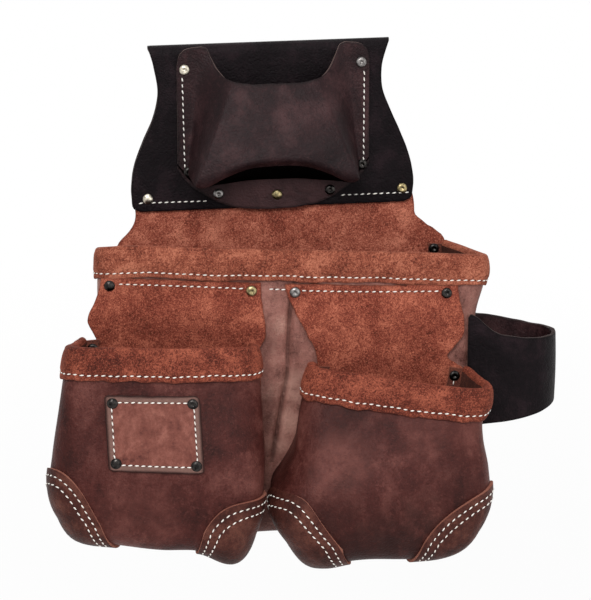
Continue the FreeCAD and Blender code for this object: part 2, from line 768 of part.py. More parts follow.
def pouch_levels(rim, band, belly, floor, mouth, belly_width, backs):
    """Levels of an outer pouch: straight under the rim, widest at the belly, turned in below."""
    turn, knee = size("pouch_turn"), size("pouch_knee")
    radius = (size("pouch_depth") - knee) * CORNER_SHARE
    floor_depth = size("pouch_depth") * FLOOR_SHARE
    (mouth_left, mouth_right), (belly_left, belly_right), (back_left, back_right) = mouth, belly_width, backs
    return [
        (rim, back_left, back_right, mouth_left, mouth_right, POUCH_FRONT, radius),
        (rim - band, back_left, back_right, mouth_left, mouth_right, POUCH_FRONT, radius),
        (belly, back_left, back_right, belly_left, belly_right, POUCH_FRONT, radius),
        (floor + turn, back_left, back_right, belly_left + turn * BELLY_DRAW, belly_right - turn * BELLY_DRAW,
         POUCH_FRONT, radius),
        (floor, back_left + turn / 2, back_right - turn / 2, belly_left + turn * FLOOR_DRAW,
         belly_right - turn * FLOOR_DRAW, POUCH_BACK - floor_depth, (floor_depth - knee) * CORNER_SHARE)]


LABEL_EDGE = size("label_width") / 2 - size("label_rivet_inset")
LABEL_RIVETS = [(size("label_centre") + LABEL_EDGE * way, height)
                for height in (size("label_top") - size("label_rivet_inset"),
                               size("label_top") - size("label_height") + size("label_rivet_inset"))
                for way in (-1, 1)]


def pouches():
    """The two outer pouches, the second with a slanting rim, and the rivets they hang from."""
    knee = size("pouch_knee")
    left = pouch_levels(
        size("left_rim"), size("binding_height"), size("left_belly"), size("left_floor"),
        (-size("left_mouth_left"), -size("left_mouth_right")),
        (-size("left_belly_left"), -(size("left_mouth_right") + 1)),
        (-(size("left_mouth_left") - knee * 1.3), -(size("left_mouth_right") + 1)))
    outer_pouch("left", left, None)
    drop = size("right_rim_drop")
    right = pouch_levels(
        size("right_rim"), size("binding_height") + drop, size("right_belly"), size("right_floor"),
        (size("right_mouth_left"), size("right_mouth_right")),
        (-size("right_belly_left"), size("right_mouth_right") + 2),
        (size("right_mouth_left") + 5, size("right_mouth_right") - knee))
    rim = size("right_rim")
    start = size("right_mouth_left") - 10
    width = size("right_mouth_right") - size("right_mouth_left")
    outer_pouch("right", right, [
        (start, rim), (size("right_mouth_left") + 2, rim - 1),
        (size("right_mouth_left") + width * 0.4, rim - drop * 0.6),
        (size("right_mouth_left") + width * 0.75, rim - drop),
        (size("right_mouth_left") + width * 0.86, rim - drop),
        (size("right_mouth_right") + 10, rim - drop * 0.45)])
    group("pouch_hanging_rivets", [
        rivet("hanging_rivet_%d" % number, (x, HANGER_FRONT, z), SUEDE + LEATHER)
        for number, (x, z) in enumerate(HANG_RIVETS)])
    rows = []
    for number in (0, 2):
        start_x = HANG_RIVETS[number][0] + ROW_MARGIN
        run = HANG_RIVETS[number + 1][0] - HANG_RIVETS[number][0] - ROW_MARGIN * 2
        rows.append(stitch_row("hanging_row_%d" % number, (start_x, HANG_ROW), run, HANGER_FRONT))
    group("pouch_hanging_thread", rows)


def label_patch():
    """The bare patch riveted to the left pouch's front."""
    centre, half = size("label_centre"), size("label_width") / 2
    top, low = size("label_top"), size("label_top") - size("label_height")
    plate("label_patch", [(centre - half, low), (centre + half, low), (centre + half, top), (centre - half, top)],
          POUCH_FRONT, SUEDE, holes=LABEL_RIVETS)
    group("label_patch_rivets", [
        rivet("label_rivet_%d" % number, (x, POUCH_FRONT - SUEDE, z), SUEDE + LEATHER)
        for number, (x, z) in enumerate(LABEL_RIVETS)])
    inset, bar = size("label_rivet_inset") / 2, ROW_MARGIN
    run_x = size("label_width") - size("label_rivet_inset") * 2 - bar * 2
    run_z = size("label_height") - size("label_rivet_inset") * 2 - bar * 2
    start_x = centre - run_x / 2
    start_z = low + size("label_rivet_inset") + bar
    face = POUCH_FRONT - SUEDE
    group("label_patch_thread", [
        stitch_row("label_row_top", (start_x, top - inset), run_x, face),
        stitch_row("label_row_low", (start_x, low + inset), run_x, face),
        stitch_row("label_row_left", (centre - half + inset, start_z), run_z, face, upright=True),
        stitch_row("label_row_right", (centre + half - inset - size("thread"), start_z), run_z, face,
                   upright=True)])


# ---------------------------------------------------------------- tool loop

LOOP_Y = (BAG_BACK - size("bag_knee") + BAG_FRONT + size("bag_corner")) / 2
LOOP_BASE_HALF = (size("bag_depth") - size("bag_knee") - size("bag_corner")) / 2
LOOP_RIVETS = [(LOOP_Y, size("loop_middle") + size("loop_rivet_spread") * way) for way in (-1, 1)]


def loop_outline(inset):
    """The strap's plan: a base on the bag's side, two cheeks and a round outer end."""
    base = size("bag_right") + inset
    radius = size("loop_radius") - inset
    tip = size("bag_right") + size("loop_reach") - size("loop_radius")
    half = LOOP_BASE_HALF - inset
    corners = [(base, LOOP_Y + half), (base, LOOP_Y - half), (tip, LOOP_Y - radius),
               (tip + radius, LOOP_Y), (tip, LOOP_Y + radius)]
    return corners, {2: radius, 3: radius}


def tool_loop():
    """A strap bent into a ring on the bag's right side, narrowing towards its outer end."""
    body = new_body("tool_loop")
    height = size("loop_height")
    ring = sketch_on(body, "loop_plan", "XY_Plane", size("loop_middle"))
    draw_loop(ring, *loop_outline(ZERO))
    draw_loop(ring, *loop_outline(LEATHER))
    pad(body, ring, height, midplane=True)
    doc.recompute()
    near = size("bag_right") - 1
    far = size("bag_right") + size("loop_reach") + 1
    for way, name in ((1, "loop_top"), (-1, "loop_bottom")):
        trim = sketch_on(body, name, "XZ_Plane", 0)
        edge = size("loop_middle") + height * (way / 2)
        outer = size("loop_middle") + size("loop_outer_height") * (way / 2)
        draw_loop(trim, [(near, edge), (far, outer), (far, edge + way), (near, edge + way)])
        cut_through(body, trim)
    holes = sketch_on(body, "loop_base_holes", "YZ_Plane", size("bag_right"))
    draw_circles(holes, LOOP_RIVETS, RIVET_HOLE)
    cut_deep(body, holes, LEATHER, along_normal=True)
    FINISHED.append(body)
    group("tool_loop_rivets", [
        rivet("loop_rivet_%d" % number, (size("bag_right") + LEATHER, y, z), LEATHER * 2, "right")
        for number, (y, z) in enumerate(LOOP_RIVETS)])


# ---------------------------------------------------------------- build, check, write

corner_rivets = belt_panel()
tape_holder()
bag_side_rivets = main_bag()
back_panel(corner_rivets, bag_side_rivets)
pouches()
label_patch()
tool_loop()
doc.recompute()

faults = [thing.Name for thing in doc.Objects if {"Invalid", "Error"} & set(thing.State)]
faults += [thing.Label for thing in FINISHED if thing.Shape.isNull() or not thing.Shape.isValid()]
if faults:
    raise RuntimeError("faulty objects: " + ", ".join(faults))

os.makedirs("parts", exist_ok=True)
for piece in FINISHED:
    piece.Shape.exportStep("parts/%s.step" % piece.Label)
print("%d nodes written" % len(FINISHED))
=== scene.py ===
"""The looks of the electrician's tool pouch: oiled leather, suede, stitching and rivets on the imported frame.

Lengths are millimetres until a mesh is made, which turns them into metres. X is to the right, Y to the back
and Z up. Every surface is a Skin, which two shares run over: u across, from left to right, and v down.
"""
import logging
import math
from dataclasses import dataclass, field
from enum import Enum
from typing import Callable, Iterable, Optional, Sequence, Union

import bmesh
import bpy
import numpy as np
from mathutils import Matrix, Vector
from mathutils.bvhtree import BVHTree


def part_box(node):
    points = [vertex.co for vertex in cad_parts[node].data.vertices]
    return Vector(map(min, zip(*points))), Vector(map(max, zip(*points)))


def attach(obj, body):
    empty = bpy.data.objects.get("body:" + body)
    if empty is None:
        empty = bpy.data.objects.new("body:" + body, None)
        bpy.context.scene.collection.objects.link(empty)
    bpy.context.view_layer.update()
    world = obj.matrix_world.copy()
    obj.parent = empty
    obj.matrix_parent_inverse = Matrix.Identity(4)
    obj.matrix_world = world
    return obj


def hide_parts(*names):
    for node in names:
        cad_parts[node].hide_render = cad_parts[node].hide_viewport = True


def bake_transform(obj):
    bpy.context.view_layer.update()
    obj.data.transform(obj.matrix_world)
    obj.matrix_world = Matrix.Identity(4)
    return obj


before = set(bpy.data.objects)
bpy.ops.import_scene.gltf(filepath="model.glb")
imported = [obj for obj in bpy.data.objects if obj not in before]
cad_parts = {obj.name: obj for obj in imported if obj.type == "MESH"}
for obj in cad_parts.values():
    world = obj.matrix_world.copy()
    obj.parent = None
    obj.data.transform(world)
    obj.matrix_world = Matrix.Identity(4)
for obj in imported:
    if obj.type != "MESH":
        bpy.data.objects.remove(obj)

Array = np.ndarray
Colour = tuple[float, float, float]
Surface = Callable[[Array, Array], Array]
MM = 0.001
LEATHER = 2.6
SUEDE = 2.4
BINDING = 1.9
STRAP = 3.0
NO_FRONT = -100.0
FORWARD = (0.0, -1.0, 0.0)
log = logging.getLogger("tool_pouch")


class Body(Enum):
    """The bodies of the frame that pieces ride on."""

    BELT = "belt_piece"
    BAG = "bag"
    LEFT = "left_pouch"
    RIGHT = "right_pouch"


class Metal(Enum):
    """The plating of a rivet."""

    NICKEL = "nickel"
    STEEL = "steel"
    BRASS = "brass"
    BLACK = "black"


class Head(Enum):
    """The shape of a rivet's cap."""

    DOMED = "domed"
    DIMPLED = "dimpled"


@dataclass(frozen=True)
class Dent:
    """A dent, or a swelling where its depth is below zero, round a place on a bag's wall.

    u and v are the place's shares, wide and high its reach in shares, depth its depth in millimetres, and
    slope how far its middle moves across for each share down. A very narrow dent is a fold.
    """

    u: float
    v: float
    wide: float
    high: float
    depth: float
    slope: float = 0.0
    fold_wide = 0.007

    @property
    def is_fold(self) -> bool:
        """Whether the dent is narrow enough to be a fold."""
        return self.wide < self.fold_wide

    def beside(self, u: Array, v: Array) -> Array:
        """How far across, in shares, the places lie from the dent's middle."""
        return u - self.u - self.slope * (v - self.v)

    def at(self, u: Array, v: Array) -> Array:
        """How deep the dent is at these shares."""
        away = (self.beside(u, v) / self.wide) ** 2 + ((v - self.v) / self.high) ** 2
        return self.depth * np.exp(-away)


@dataclass(frozen=True)
class ToneAndShadingSpot:
    """A darker spot on the leather, or a paler one where its share is below zero, in millimetres. Most spots
    are painted shade and painted light.
    """

    place: tuple[float, float, float]
    reach: float
    share: float


@dataclass(frozen=True)
class Block:
    """The box of one CAD node, in millimetres."""

    low: Vector
    high: Vector

    @classmethod
    def of(cls, node: str) -> "Block":
        """The box of the node with this name."""
        low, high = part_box(node)
        return cls(low / MM, high / MM)


@dataclass(frozen=True)
class Curve:
    """A smooth curve through a few (place, value) knots, level beyond its ends."""

    knots: tuple[tuple[float, float], ...]

    def at(self, place: Union[Array, float]) -> Array:
        """The values at these places.

        Args:
            place: where along the curve, in the knots' own units.

        Returns:
            The curve's values, in the shape of place.
        """
        places, values = (np.array(part, float) for part in zip(*self.knots))
        slopes = np.gradient(values, places)
        where = np.clip(place, places[0], places[-1])
        k = np.clip(np.searchsorted(places, where) - 1, 0, len(places) - 2)
        span = places[k + 1] - places[k]
        t = (where - places[k]) / span
        rise = t * t * (3 - 2 * t)
        start = t * (1 - t) ** 2 * span * slopes[k]
        end = t * t * (t - 1) * span * slopes[k + 1]
        return values[k] * (1 - rise) + values[k + 1] * rise + start + end


def level(value: float) -> Curve:
    """A curve with this one value everywhere."""
    return Curve(((0, value), (1, value)))


def smooth(share: Array) -> Array:
    """A share from 0 to 1 eased at both ends."""
    t = np.clip(share, 0, 1)
    return t * t * (3 - 2 * t)


def unit(vectors: Array) -> Array:
    """The vectors, each made one long."""
    return vectors / np.maximum(np.linalg.norm(vectors, axis=-1, keepdims=True), 1e-9)


def points_of(x: Array, y: Array, z: Array) -> Array:
    """Points from their three coordinates."""
    return np.stack(np.broadcast_arrays(x, y, z), axis=-1).astype(float)


def forward(count: int) -> Array:
    """The forward direction, this many times."""
    return np.tile(FORWARD, (count, 1))


@dataclass(frozen=True)
class Ripple:
    """Slow waves that keep a leather wall from lying flat."""

    seed: int
    height: float
    length: float
    waves: int = 7

    def at(self, points: Array) -> Array:
        """How far the leather stands out at these points.

        Args:
            points: places on the wall, in millimetres.

        Returns:
            The distances, in millimetres.
        """
        draw = np.random.default_rng(self.seed)
        total = np.zeros(points.shape[:-1])
        for _ in range(self.waves):
            way = unit(draw.normal(size=3))
            length = self.length * draw.uniform(0.6, 1.8)
            total += np.sin(points @ way * math.tau / length + draw.uniform(0, math.tau))
        return self.height * total / math.sqrt(self.waves)


FLAT = Ripple(seed=0, height=0.0, length=10.0)


class Skin:
    """A surface that u and v run over, with its outer side where u goes right and v goes down."""

    step = 2e-3
    v_end = 1.0

    def surface(self, u: Array, v: Array) -> Array:
        """The points at these shares, given as arrays of one shape."""
        raise NotImplementedError

    def at(self, u: Union[Array, float], v: Union[Array, float]) -> Array:
        """The points at these shares, given as arrays or numbers."""
        return self.surface(*np.broadcast_arrays(np.asarray(u, float), np.asarray(v, float)))

    def to_fold(self, u: Array, v: Array) -> Array:
        """How far these shares lie, in millimetres, from a sharp fold, along which the materials paint shade.
        """
        return np.full(np.broadcast(u, v).shape, np.inf)

    def outward(self, surface: Surface, u: Array, v: Array) -> Array:
        """The outward directions of a surface at these shares.

        Args:
            surface: gives points for shares.
            u: shares across, from left to right.
            v: shares down.

        Returns:
            Directions, each one long.
        """
        u0, u1 = np.clip(u - self.step, 0, 1), np.clip(u + self.step, 0, 1)
        v0, v1 = np.clip(v - self.step, 0, self.v_end), np.clip(v + self.step, 0, self.v_end)
        return unit(np.cross(surface(u, v1) - surface(u, v0), surface(u1, v) - surface(u0, v)))

    def normal(self, u: Array, v: Array) -> Array:
        """The outward directions at these shares."""
        return self.outward(self.at, u, v)


@dataclass
class BagSkin(Skin):
    """The wall of a bag: two sides and a front round a flat back, turned under to a floor.

    v is 0 at the rim, 1 at the lowest line and 1.4 where the floor meets the back.
    """

    left: Curve
    right: Curve
    depth: Curve
    rim: Curve
    foot: Curve
    back: float
    tuck: tuple[Curve, Curve]
    lean: float = 0.0
    radius: float = 26.0
    bow: float = 3.0
    flange: float = 13.0
    flange_stand: float = 2.1
    turn: float = 0.86
    under: float = 0.3
    floor_rise: float = 5.0
    ripple: Ripple = FLAT
    dents: tuple[Dent, ...] = ()
    v_end = 1.4
    held_rim = 0.25
    held_side = 0.12
    lean_end = 0.6
    tuck_power = 1.5
    seam_share = 0.32
    bow_end = 0.8

    def __post_init__(self) -> None:
        """Measures the plan half way down."""
        self._wide = float(self.right.at(0.5) - self.left.at(0.5))
        self._legs = (float(self.depth.at(0.5)) - self.radius, self.radius * math.pi / 2,
                      self._wide - 2 * self.radius)
        self.girth = 2 * (self.flange + self._legs[0] + self._legs[1]) + self._legs[2]

    def corner(self, right: bool) -> float:
        """The share u of the front's left or right corner."""
        share = (self.flange + self._legs[0] + self._legs[1] / 2) / self.girth
        return 1 - share if right else share

    def seam(self, right: bool) -> float:
        """The share u of the middle of the left or right flange."""
        share = self.seam_share * self.flange / self.girth
        return 1 - share if right else share

    def height(self, u: Array) -> Array:
        """How far the lowest line lies below the rim."""
        return self.rim.at(u) - self.foot.at(u)

    def _plan(self, u: Array) -> tuple[Array, Array, Array]:
        """The plan's shares, -1 to 1 to the right and 0 to 1 to the front, and the flanges' run.

        Args:
            u: shares across.

        Returns:
            The three, each in the shape of u.
        """
        side, arc, front = self._legs
        run = u * self.girth
        inward = np.clip(self.flange - run, 0, None) - np.clip(run - self.girth + self.flange, 0, None)
        run = np.clip(run - self.flange, 0, self.girth - 2 * self.flange)
        first = np.clip((run - side) / arc, 0, 1) * math.pi / 2
        second = np.clip((run - side - arc - front) / arc, 0, 1) * math.pi / 2
        x = self.radius * (1 - np.cos(first) + np.sin(second)) + np.clip(run - side - arc, 0, front)
        y = np.clip(run, 0, side) - np.clip(run - side - 2 * arc - front, 0, side)
        y = y + self.radius * (np.sin(first) - 1 + np.cos(second))
        return 2 * x / self._wide - 1, y / (side + self.radius), inward

    def _plain(self, u: Array, v: Array) -> Array:
        """The wall before its ripples and dents.

        Args:
            u: shares across, from left to right.
            v: shares down.

        Returns:
            The points, in millimetres.
        """
        across, out, inward = self._plan(u)
        wall, floor = np.minimum(v, 1), np.clip((v - 1) / (self.v_end - 1), 0, 1)
        bend = np.clip((wall - self.turn) / (1 - self.turn), 0, 1) * math.pi / 2
        drop = np.where(wall < self.turn, wall, self.turn + (1 - self.turn) * np.sin(bend))
        reach = (1 - self.under * (1 - np.cos(bend))) * (1 - floor)
        share = (across + 1) / 2
        tuck_left, tuck_right = (side.at(wall) for side in self.tuck)
        tucked = np.where(across < 0, tuck_left, -tuck_right) * (1 - out) ** self.tuck_power * (1 - floor)
        tucked = tucked + (tuck_left * (1 - share) - tuck_right * share) * floor
        lean = self.lean * (1 - smooth(wall / self.lean_end))
        scant = 1 - np.abs(lean) * np.where(lean < 0, share, 1 - share)
        x = self.left.at(wall) * (1 - share) + self.right.at(wall) * share + tucked + inward * (1 - floor)
        sway = np.sin(np.clip(wall, 0, 1) * math.pi * self.bow_end)
        bulge = self.bow * (1 - across ** 2) * smooth(out) * sway
        stand = self.flange_stand * (1 - smooth(out * 4))
        y = self.back - stand - (self.depth.at(wall) * out * scant + bulge) * reach
        return points_of(x, y, self.rim.at(u) - self.height(u) * drop + self.floor_rise * floor)

    def to_fold(self, u: Array, v: Array) -> Array:
        """How far these shares lie, in millimetres, from the folds among the dents.

        Args:
            u: shares across, from left to right.
            v: shares down.

        Returns:
            The distances, without an end where there is no fold.
        """
        away = super().to_fold(u, v)
        for fold in (dent for dent in self.dents if dent.is_fold):
            beside = np.abs(fold.beside(u, v)) * self.girth
            away = np.where(np.abs(v - fold.v) < fold.high, np.minimum(away, beside), away)
        return away

    def surface(self, u: Array, v: Array) -> Array:
        """The points at these shares.

        Args:
            u: shares across, from left to right.
            v: shares down.

        Returns:
            The points, in millimetres.
        """
        points = self._plain(u, v)
        out = self.outward(self._plain, u, v)
        loose = smooth(v / self.held_rim) * smooth(u / self.held_side) * smooth((1 - u) / self.held_side)
        swell = self.ripple.at(points) * loose
        for dent in self.dents:
            swell = swell - dent.at(u, v) * loose
        return points + out * swell[..., None]


@dataclass
class BindingSkin(Skin):
    """A suede strip folded over a bag's rim, from its inner lower edge over the rim to the outer one."""

    bag: BagSkin
    outer: float = 19.5
    inner: float = 15.0
    puff: float = 1.1
    row: float = 4.0
    ripple: Ripple = Ripple(seed=3, height=0.35, length=14.0)
    gap = 0.15
    groove = 0.75
    groove_wide = 1.4
    puff_start = 12.0

    @property
    def total(self) -> float:
        """The strip's whole width, round the fold."""
        return self.inner + math.pi * self.top + self.outer

    @property
    def end(self) -> float:
        """The bag's share u where the binding starts, past the flange."""
        return (self.bag.flange + 1.0) / self.bag.girth

    @property
    def top(self) -> float:
        """The radius of the fold over the rim."""
        return LEATHER / 2 + BINDING

    @property
    def inner_share(self) -> float:
        """The share v where the lap inside the bag ends and the fold over the rim starts."""
        return self.inner / self.total

    def share(self, below: float) -> float:
        """The share v that lies this far below the rim on the outer side."""
        return (self.total - self.outer + below) / self.total

    def surface(self, u: Array, v: Array) -> Array:
        """The points at these shares.

        Args:
            u: shares across, from left to right.
            v: shares down.

        Returns:
            The points, in millimetres.
        """
        u = self.end + (1 - 2 * self.end) * u
        arc = math.pi * self.top
        run = v * self.total
        inside, outside = run < self.inner, run > self.inner + arc
        angle = np.clip((run - self.inner) / arc, 0, 1) * math.pi
        below = np.where(inside, self.inner - run, np.where(outside, run - self.inner - arc, 0.0))
        edge = np.sin(u * 37.0) * 0.5 + np.sin(u * 83.0 + 1.7) * 0.35
        below = below * (1 + edge / self.outer * smooth(below / self.outer))
        wall = self.bag.at(u, below / self.bag.height(u))
        out = self.bag.normal(u, np.full_like(u, 0.02))
        out[..., 2] = 0
        out = unit(out)
        free = smooth((np.minimum(u, 1 - u) * self.bag.girth - self.bag.flange) / self.puff_start)
        full = np.sin(np.clip(below / self.outer, 0, 1) * math.pi) ** 0.7 * self.puff * free
        sewn = np.exp(-((below - self.outer + self.row) / self.groove_wide) ** 2) * self.groove
        over = -LEATHER / 2 - self.top * np.cos(angle)
        stand = np.where(outside, BINDING + self.gap + full - sewn, over)
        stand = np.where(inside, -LEATHER - BINDING - self.gap, stand)
        points = wall + out * (stand + self.ripple.at(wall) * smooth(np.abs(stand + 1.3) / 3))[..., None]
        points[..., 2] += np.sin(angle) * self.top
        return points


@dataclass
class PatchSkin(Skin):
    """A corner patch: its curved upper edge runs from the front over the corner to the side."""

    bag: BagSkin
    on_right: bool
    front: float = 50.0
    side: float = 46.0
    height: float = 56.0
    stand: float = 2.3
    power: float = 2.0
    under: float = 1.12

    def upper(self, along: Array, inset: float = 0.0) -> Array:
        """How far the upper edge, or a row inset from it, stands above the lowest line.

        Args:
            along: distances from the corner, towards the front above zero.
            inset: how far inside the cut edge the row lies.

        Returns:
            The heights.
        """
        reach = np.where(along > 0, self.front, self.side) - inset
        share = np.clip(np.abs(along) / reach, 0, 1)
        return (self.height - inset) * (1 - share ** self.power) ** (1 / self.power)

    def on_bag(self, along: Array, above: Array) -> tuple[Array, Array]:
        """The bag's shares at a distance along from the corner, and above the lowest line.

        Args:
            along: distances from the corner, towards the front above zero.
            above: heights above the lowest line.

        Returns:
            The bag's shares u and v.
        """
        way = -1 if self.on_right else 1
        u = np.clip(self.bag.corner(self.on_right) + way * along / self.bag.girth, 0.004, 0.996)
        v = 1 - above / self.bag.height(u)
        return u, v

    def lifted(self, u: Array, v: Array) -> Array:
        """The bag's points at these shares of its own, lifted by the patch's leather."""
        return self.bag.at(u, v) + self.bag.normal(u, v) * self.stand

    def surface(self, u: Array, v: Array) -> Array:
        """The points at these shares.

        Args:
            u: shares across, from left to right.
            v: shares down.

        Returns:
            The points, in millimetres.
        """
        along = -self.side + (self.side + self.front) * (1 - u if self.on_right else u)
        top = self.upper(along)
        low = (1 - self.under) * self.bag.height(0.5)
        return self.lifted(*self.on_bag(along, top + (low - top) * v))


@dataclass
class PanelSkin(Skin):
    """A flat hanging panel whose outline is four curves."""

    left: Curve
    right: Curve
    top: Curve
    bottom: Curve
    y: Curve
    middle_z = -150.0

    def surface(self, u: Array, v: Array) -> Array:
        """The points at these shares.

        Args:
            u: shares across, from left to right.
            v: shares down.

        Returns:
            The points, in millimetres.
        """
        middle = (self.left.at(self.middle_z) + self.right.at(self.middle_z)) / 2
        rough = self.top.at(middle) + (self.bottom.at(middle) - self.top.at(middle)) * v
        left, right = self.left.at(rough), self.right.at(rough)
        x = left + (right - left) * u
        z = self.top.at(x) + (self.bottom.at(x) - self.top.at(x)) * v
        return points_of(x, self.y.at(z), z)


@dataclass
class LaidSkin(Skin):
    """A rectangle laid on the front of another piece, which it follows."""

    under: BVHTree
    centre: tuple[float, float]
    size: tuple[float, float]
    tilt: float
    shear: float
    stand: float
    corner: float = 2.5

    def surface(self, u: Array, v: Array) -> Array:
        """The points at these shares.

        Args:
            u: shares across, from left to right.
            v: shares down.

        Returns:
            The points, in millimetres.
        """
        b = (0.5 - v) * self.size[1]
        low = np.clip(1 - (self.size[1] / 2 - np.abs(b)) / self.corner, 0, 1)
        inset = self.corner * (1 - np.sqrt(1 - low ** 2))
        a = (u - 0.5) * (self.size[0] - 2 * inset) + self.shear * b
        x = self.centre[0] + a * math.cos(self.tilt) - b * math.sin(self.tilt)
        z = self.centre[1] + a * math.sin(self.tilt) + b * math.cos(self.tilt)
        y = np.array([front_of(self.under, float(p), float(q)) for p, q in zip(x.flat, z.flat)])
        return points_of(x, y.reshape(x.shape) - self.stand, z)


def front_of(tree: BVHTree, x: float, z: float) -> float:
    """How far forward a piece's front is at this place."""
    hit = tree.ray_cast(Vector((x * MM, -1.0, z * MM)), Vector((0, 1, 0)))[0]
    return hit.y / MM if hit else NO_FRONT


def tree_of(piece: bpy.types.Object) -> BVHTree:
    """The ray-casting tree of a piece as its modifiers leave it.

    Args:
        piece: a finished piece.

    Returns:
        The tree, in metres.
    """
    shown = piece.evaluated_get(bpy.context.evaluated_depsgraph_get())
    shape = bmesh.new()
    shape.from_mesh(shown.to_mesh())
    tree = BVHTree.FromBMesh(shape)
    shape.free()
    shown.to_mesh_clear()
    return tree


# ------------------------------------------------------------------------------------------------- materials


def tint(red: int, green: int, blue: int) -> Colour:
    """A colour from its screen values, 0 to 255, as the shaders want it.

    Args:
        red: the red value.
        green: the green value.
        blue: the blue value.

    Returns:
        The linear colour.
    """
    def channel(value: int) -> float:
        """One channel's share."""
        share = value / 255
        return share / 12.92 if share <= 0.04045 else ((share + 0.055) / 1.055) ** 2.4
    return channel(red), channel(green), channel(blue)


class Field:
    """A number that changes over a surface. Sums with it add Math nodes."""

    def __init__(self, bench: "Bench", socket: bpy.types.NodeSocket) -> None:
        """Keeps the tree and the socket that the number comes from."""
        self.bench, self.socket = bench, socket

    def _math(self, operation: str, *terms: Union["Field", float]) -> "Field":
        """A Math node on these terms."""
        node = self.bench.node("Math", {"operation": operation}, dict(enumerate(terms)))
        return Field(self.bench, node.outputs[0])

    def __add__(self, other: Union["Field", float]) -> "Field":
        """The sum."""
        return self._math("ADD", self, other)

    __radd__ = __add__

    def __sub__(self, other: Union["Field", float]) -> "Field":
        """The difference."""
        return self._math("SUBTRACT", self, other)

    def __rsub__(self, other: Union["Field", float]) -> "Field":
        """The difference from a number."""
        return self._math("SUBTRACT", other, self)

    def __mul__(self, other: Union["Field", float]) -> "Field":
        """The product."""
        return self._math("MULTIPLY", self, other)

    __rmul__ = __mul__

    def between(self, low: float, high: float) -> "Field":
        """A smooth step from 0 at low to 1 at high.

        Args:
            low: where the step starts.
            high: where it ends.

        Returns:
            The step.
        """
        node = self.bench.node("MapRange", {"interpolation_type": "SMOOTHSTEP"},
                               {"Value": self, "From Min": low, "From Max": high})
        return Field(self.bench, node.outputs["Result"])


Setting = Union[str, float, bool, Sequence[tuple[float, Colour]]]
Feed = Union[Field, bpy.types.NodeSocket, float, Sequence[float], str]


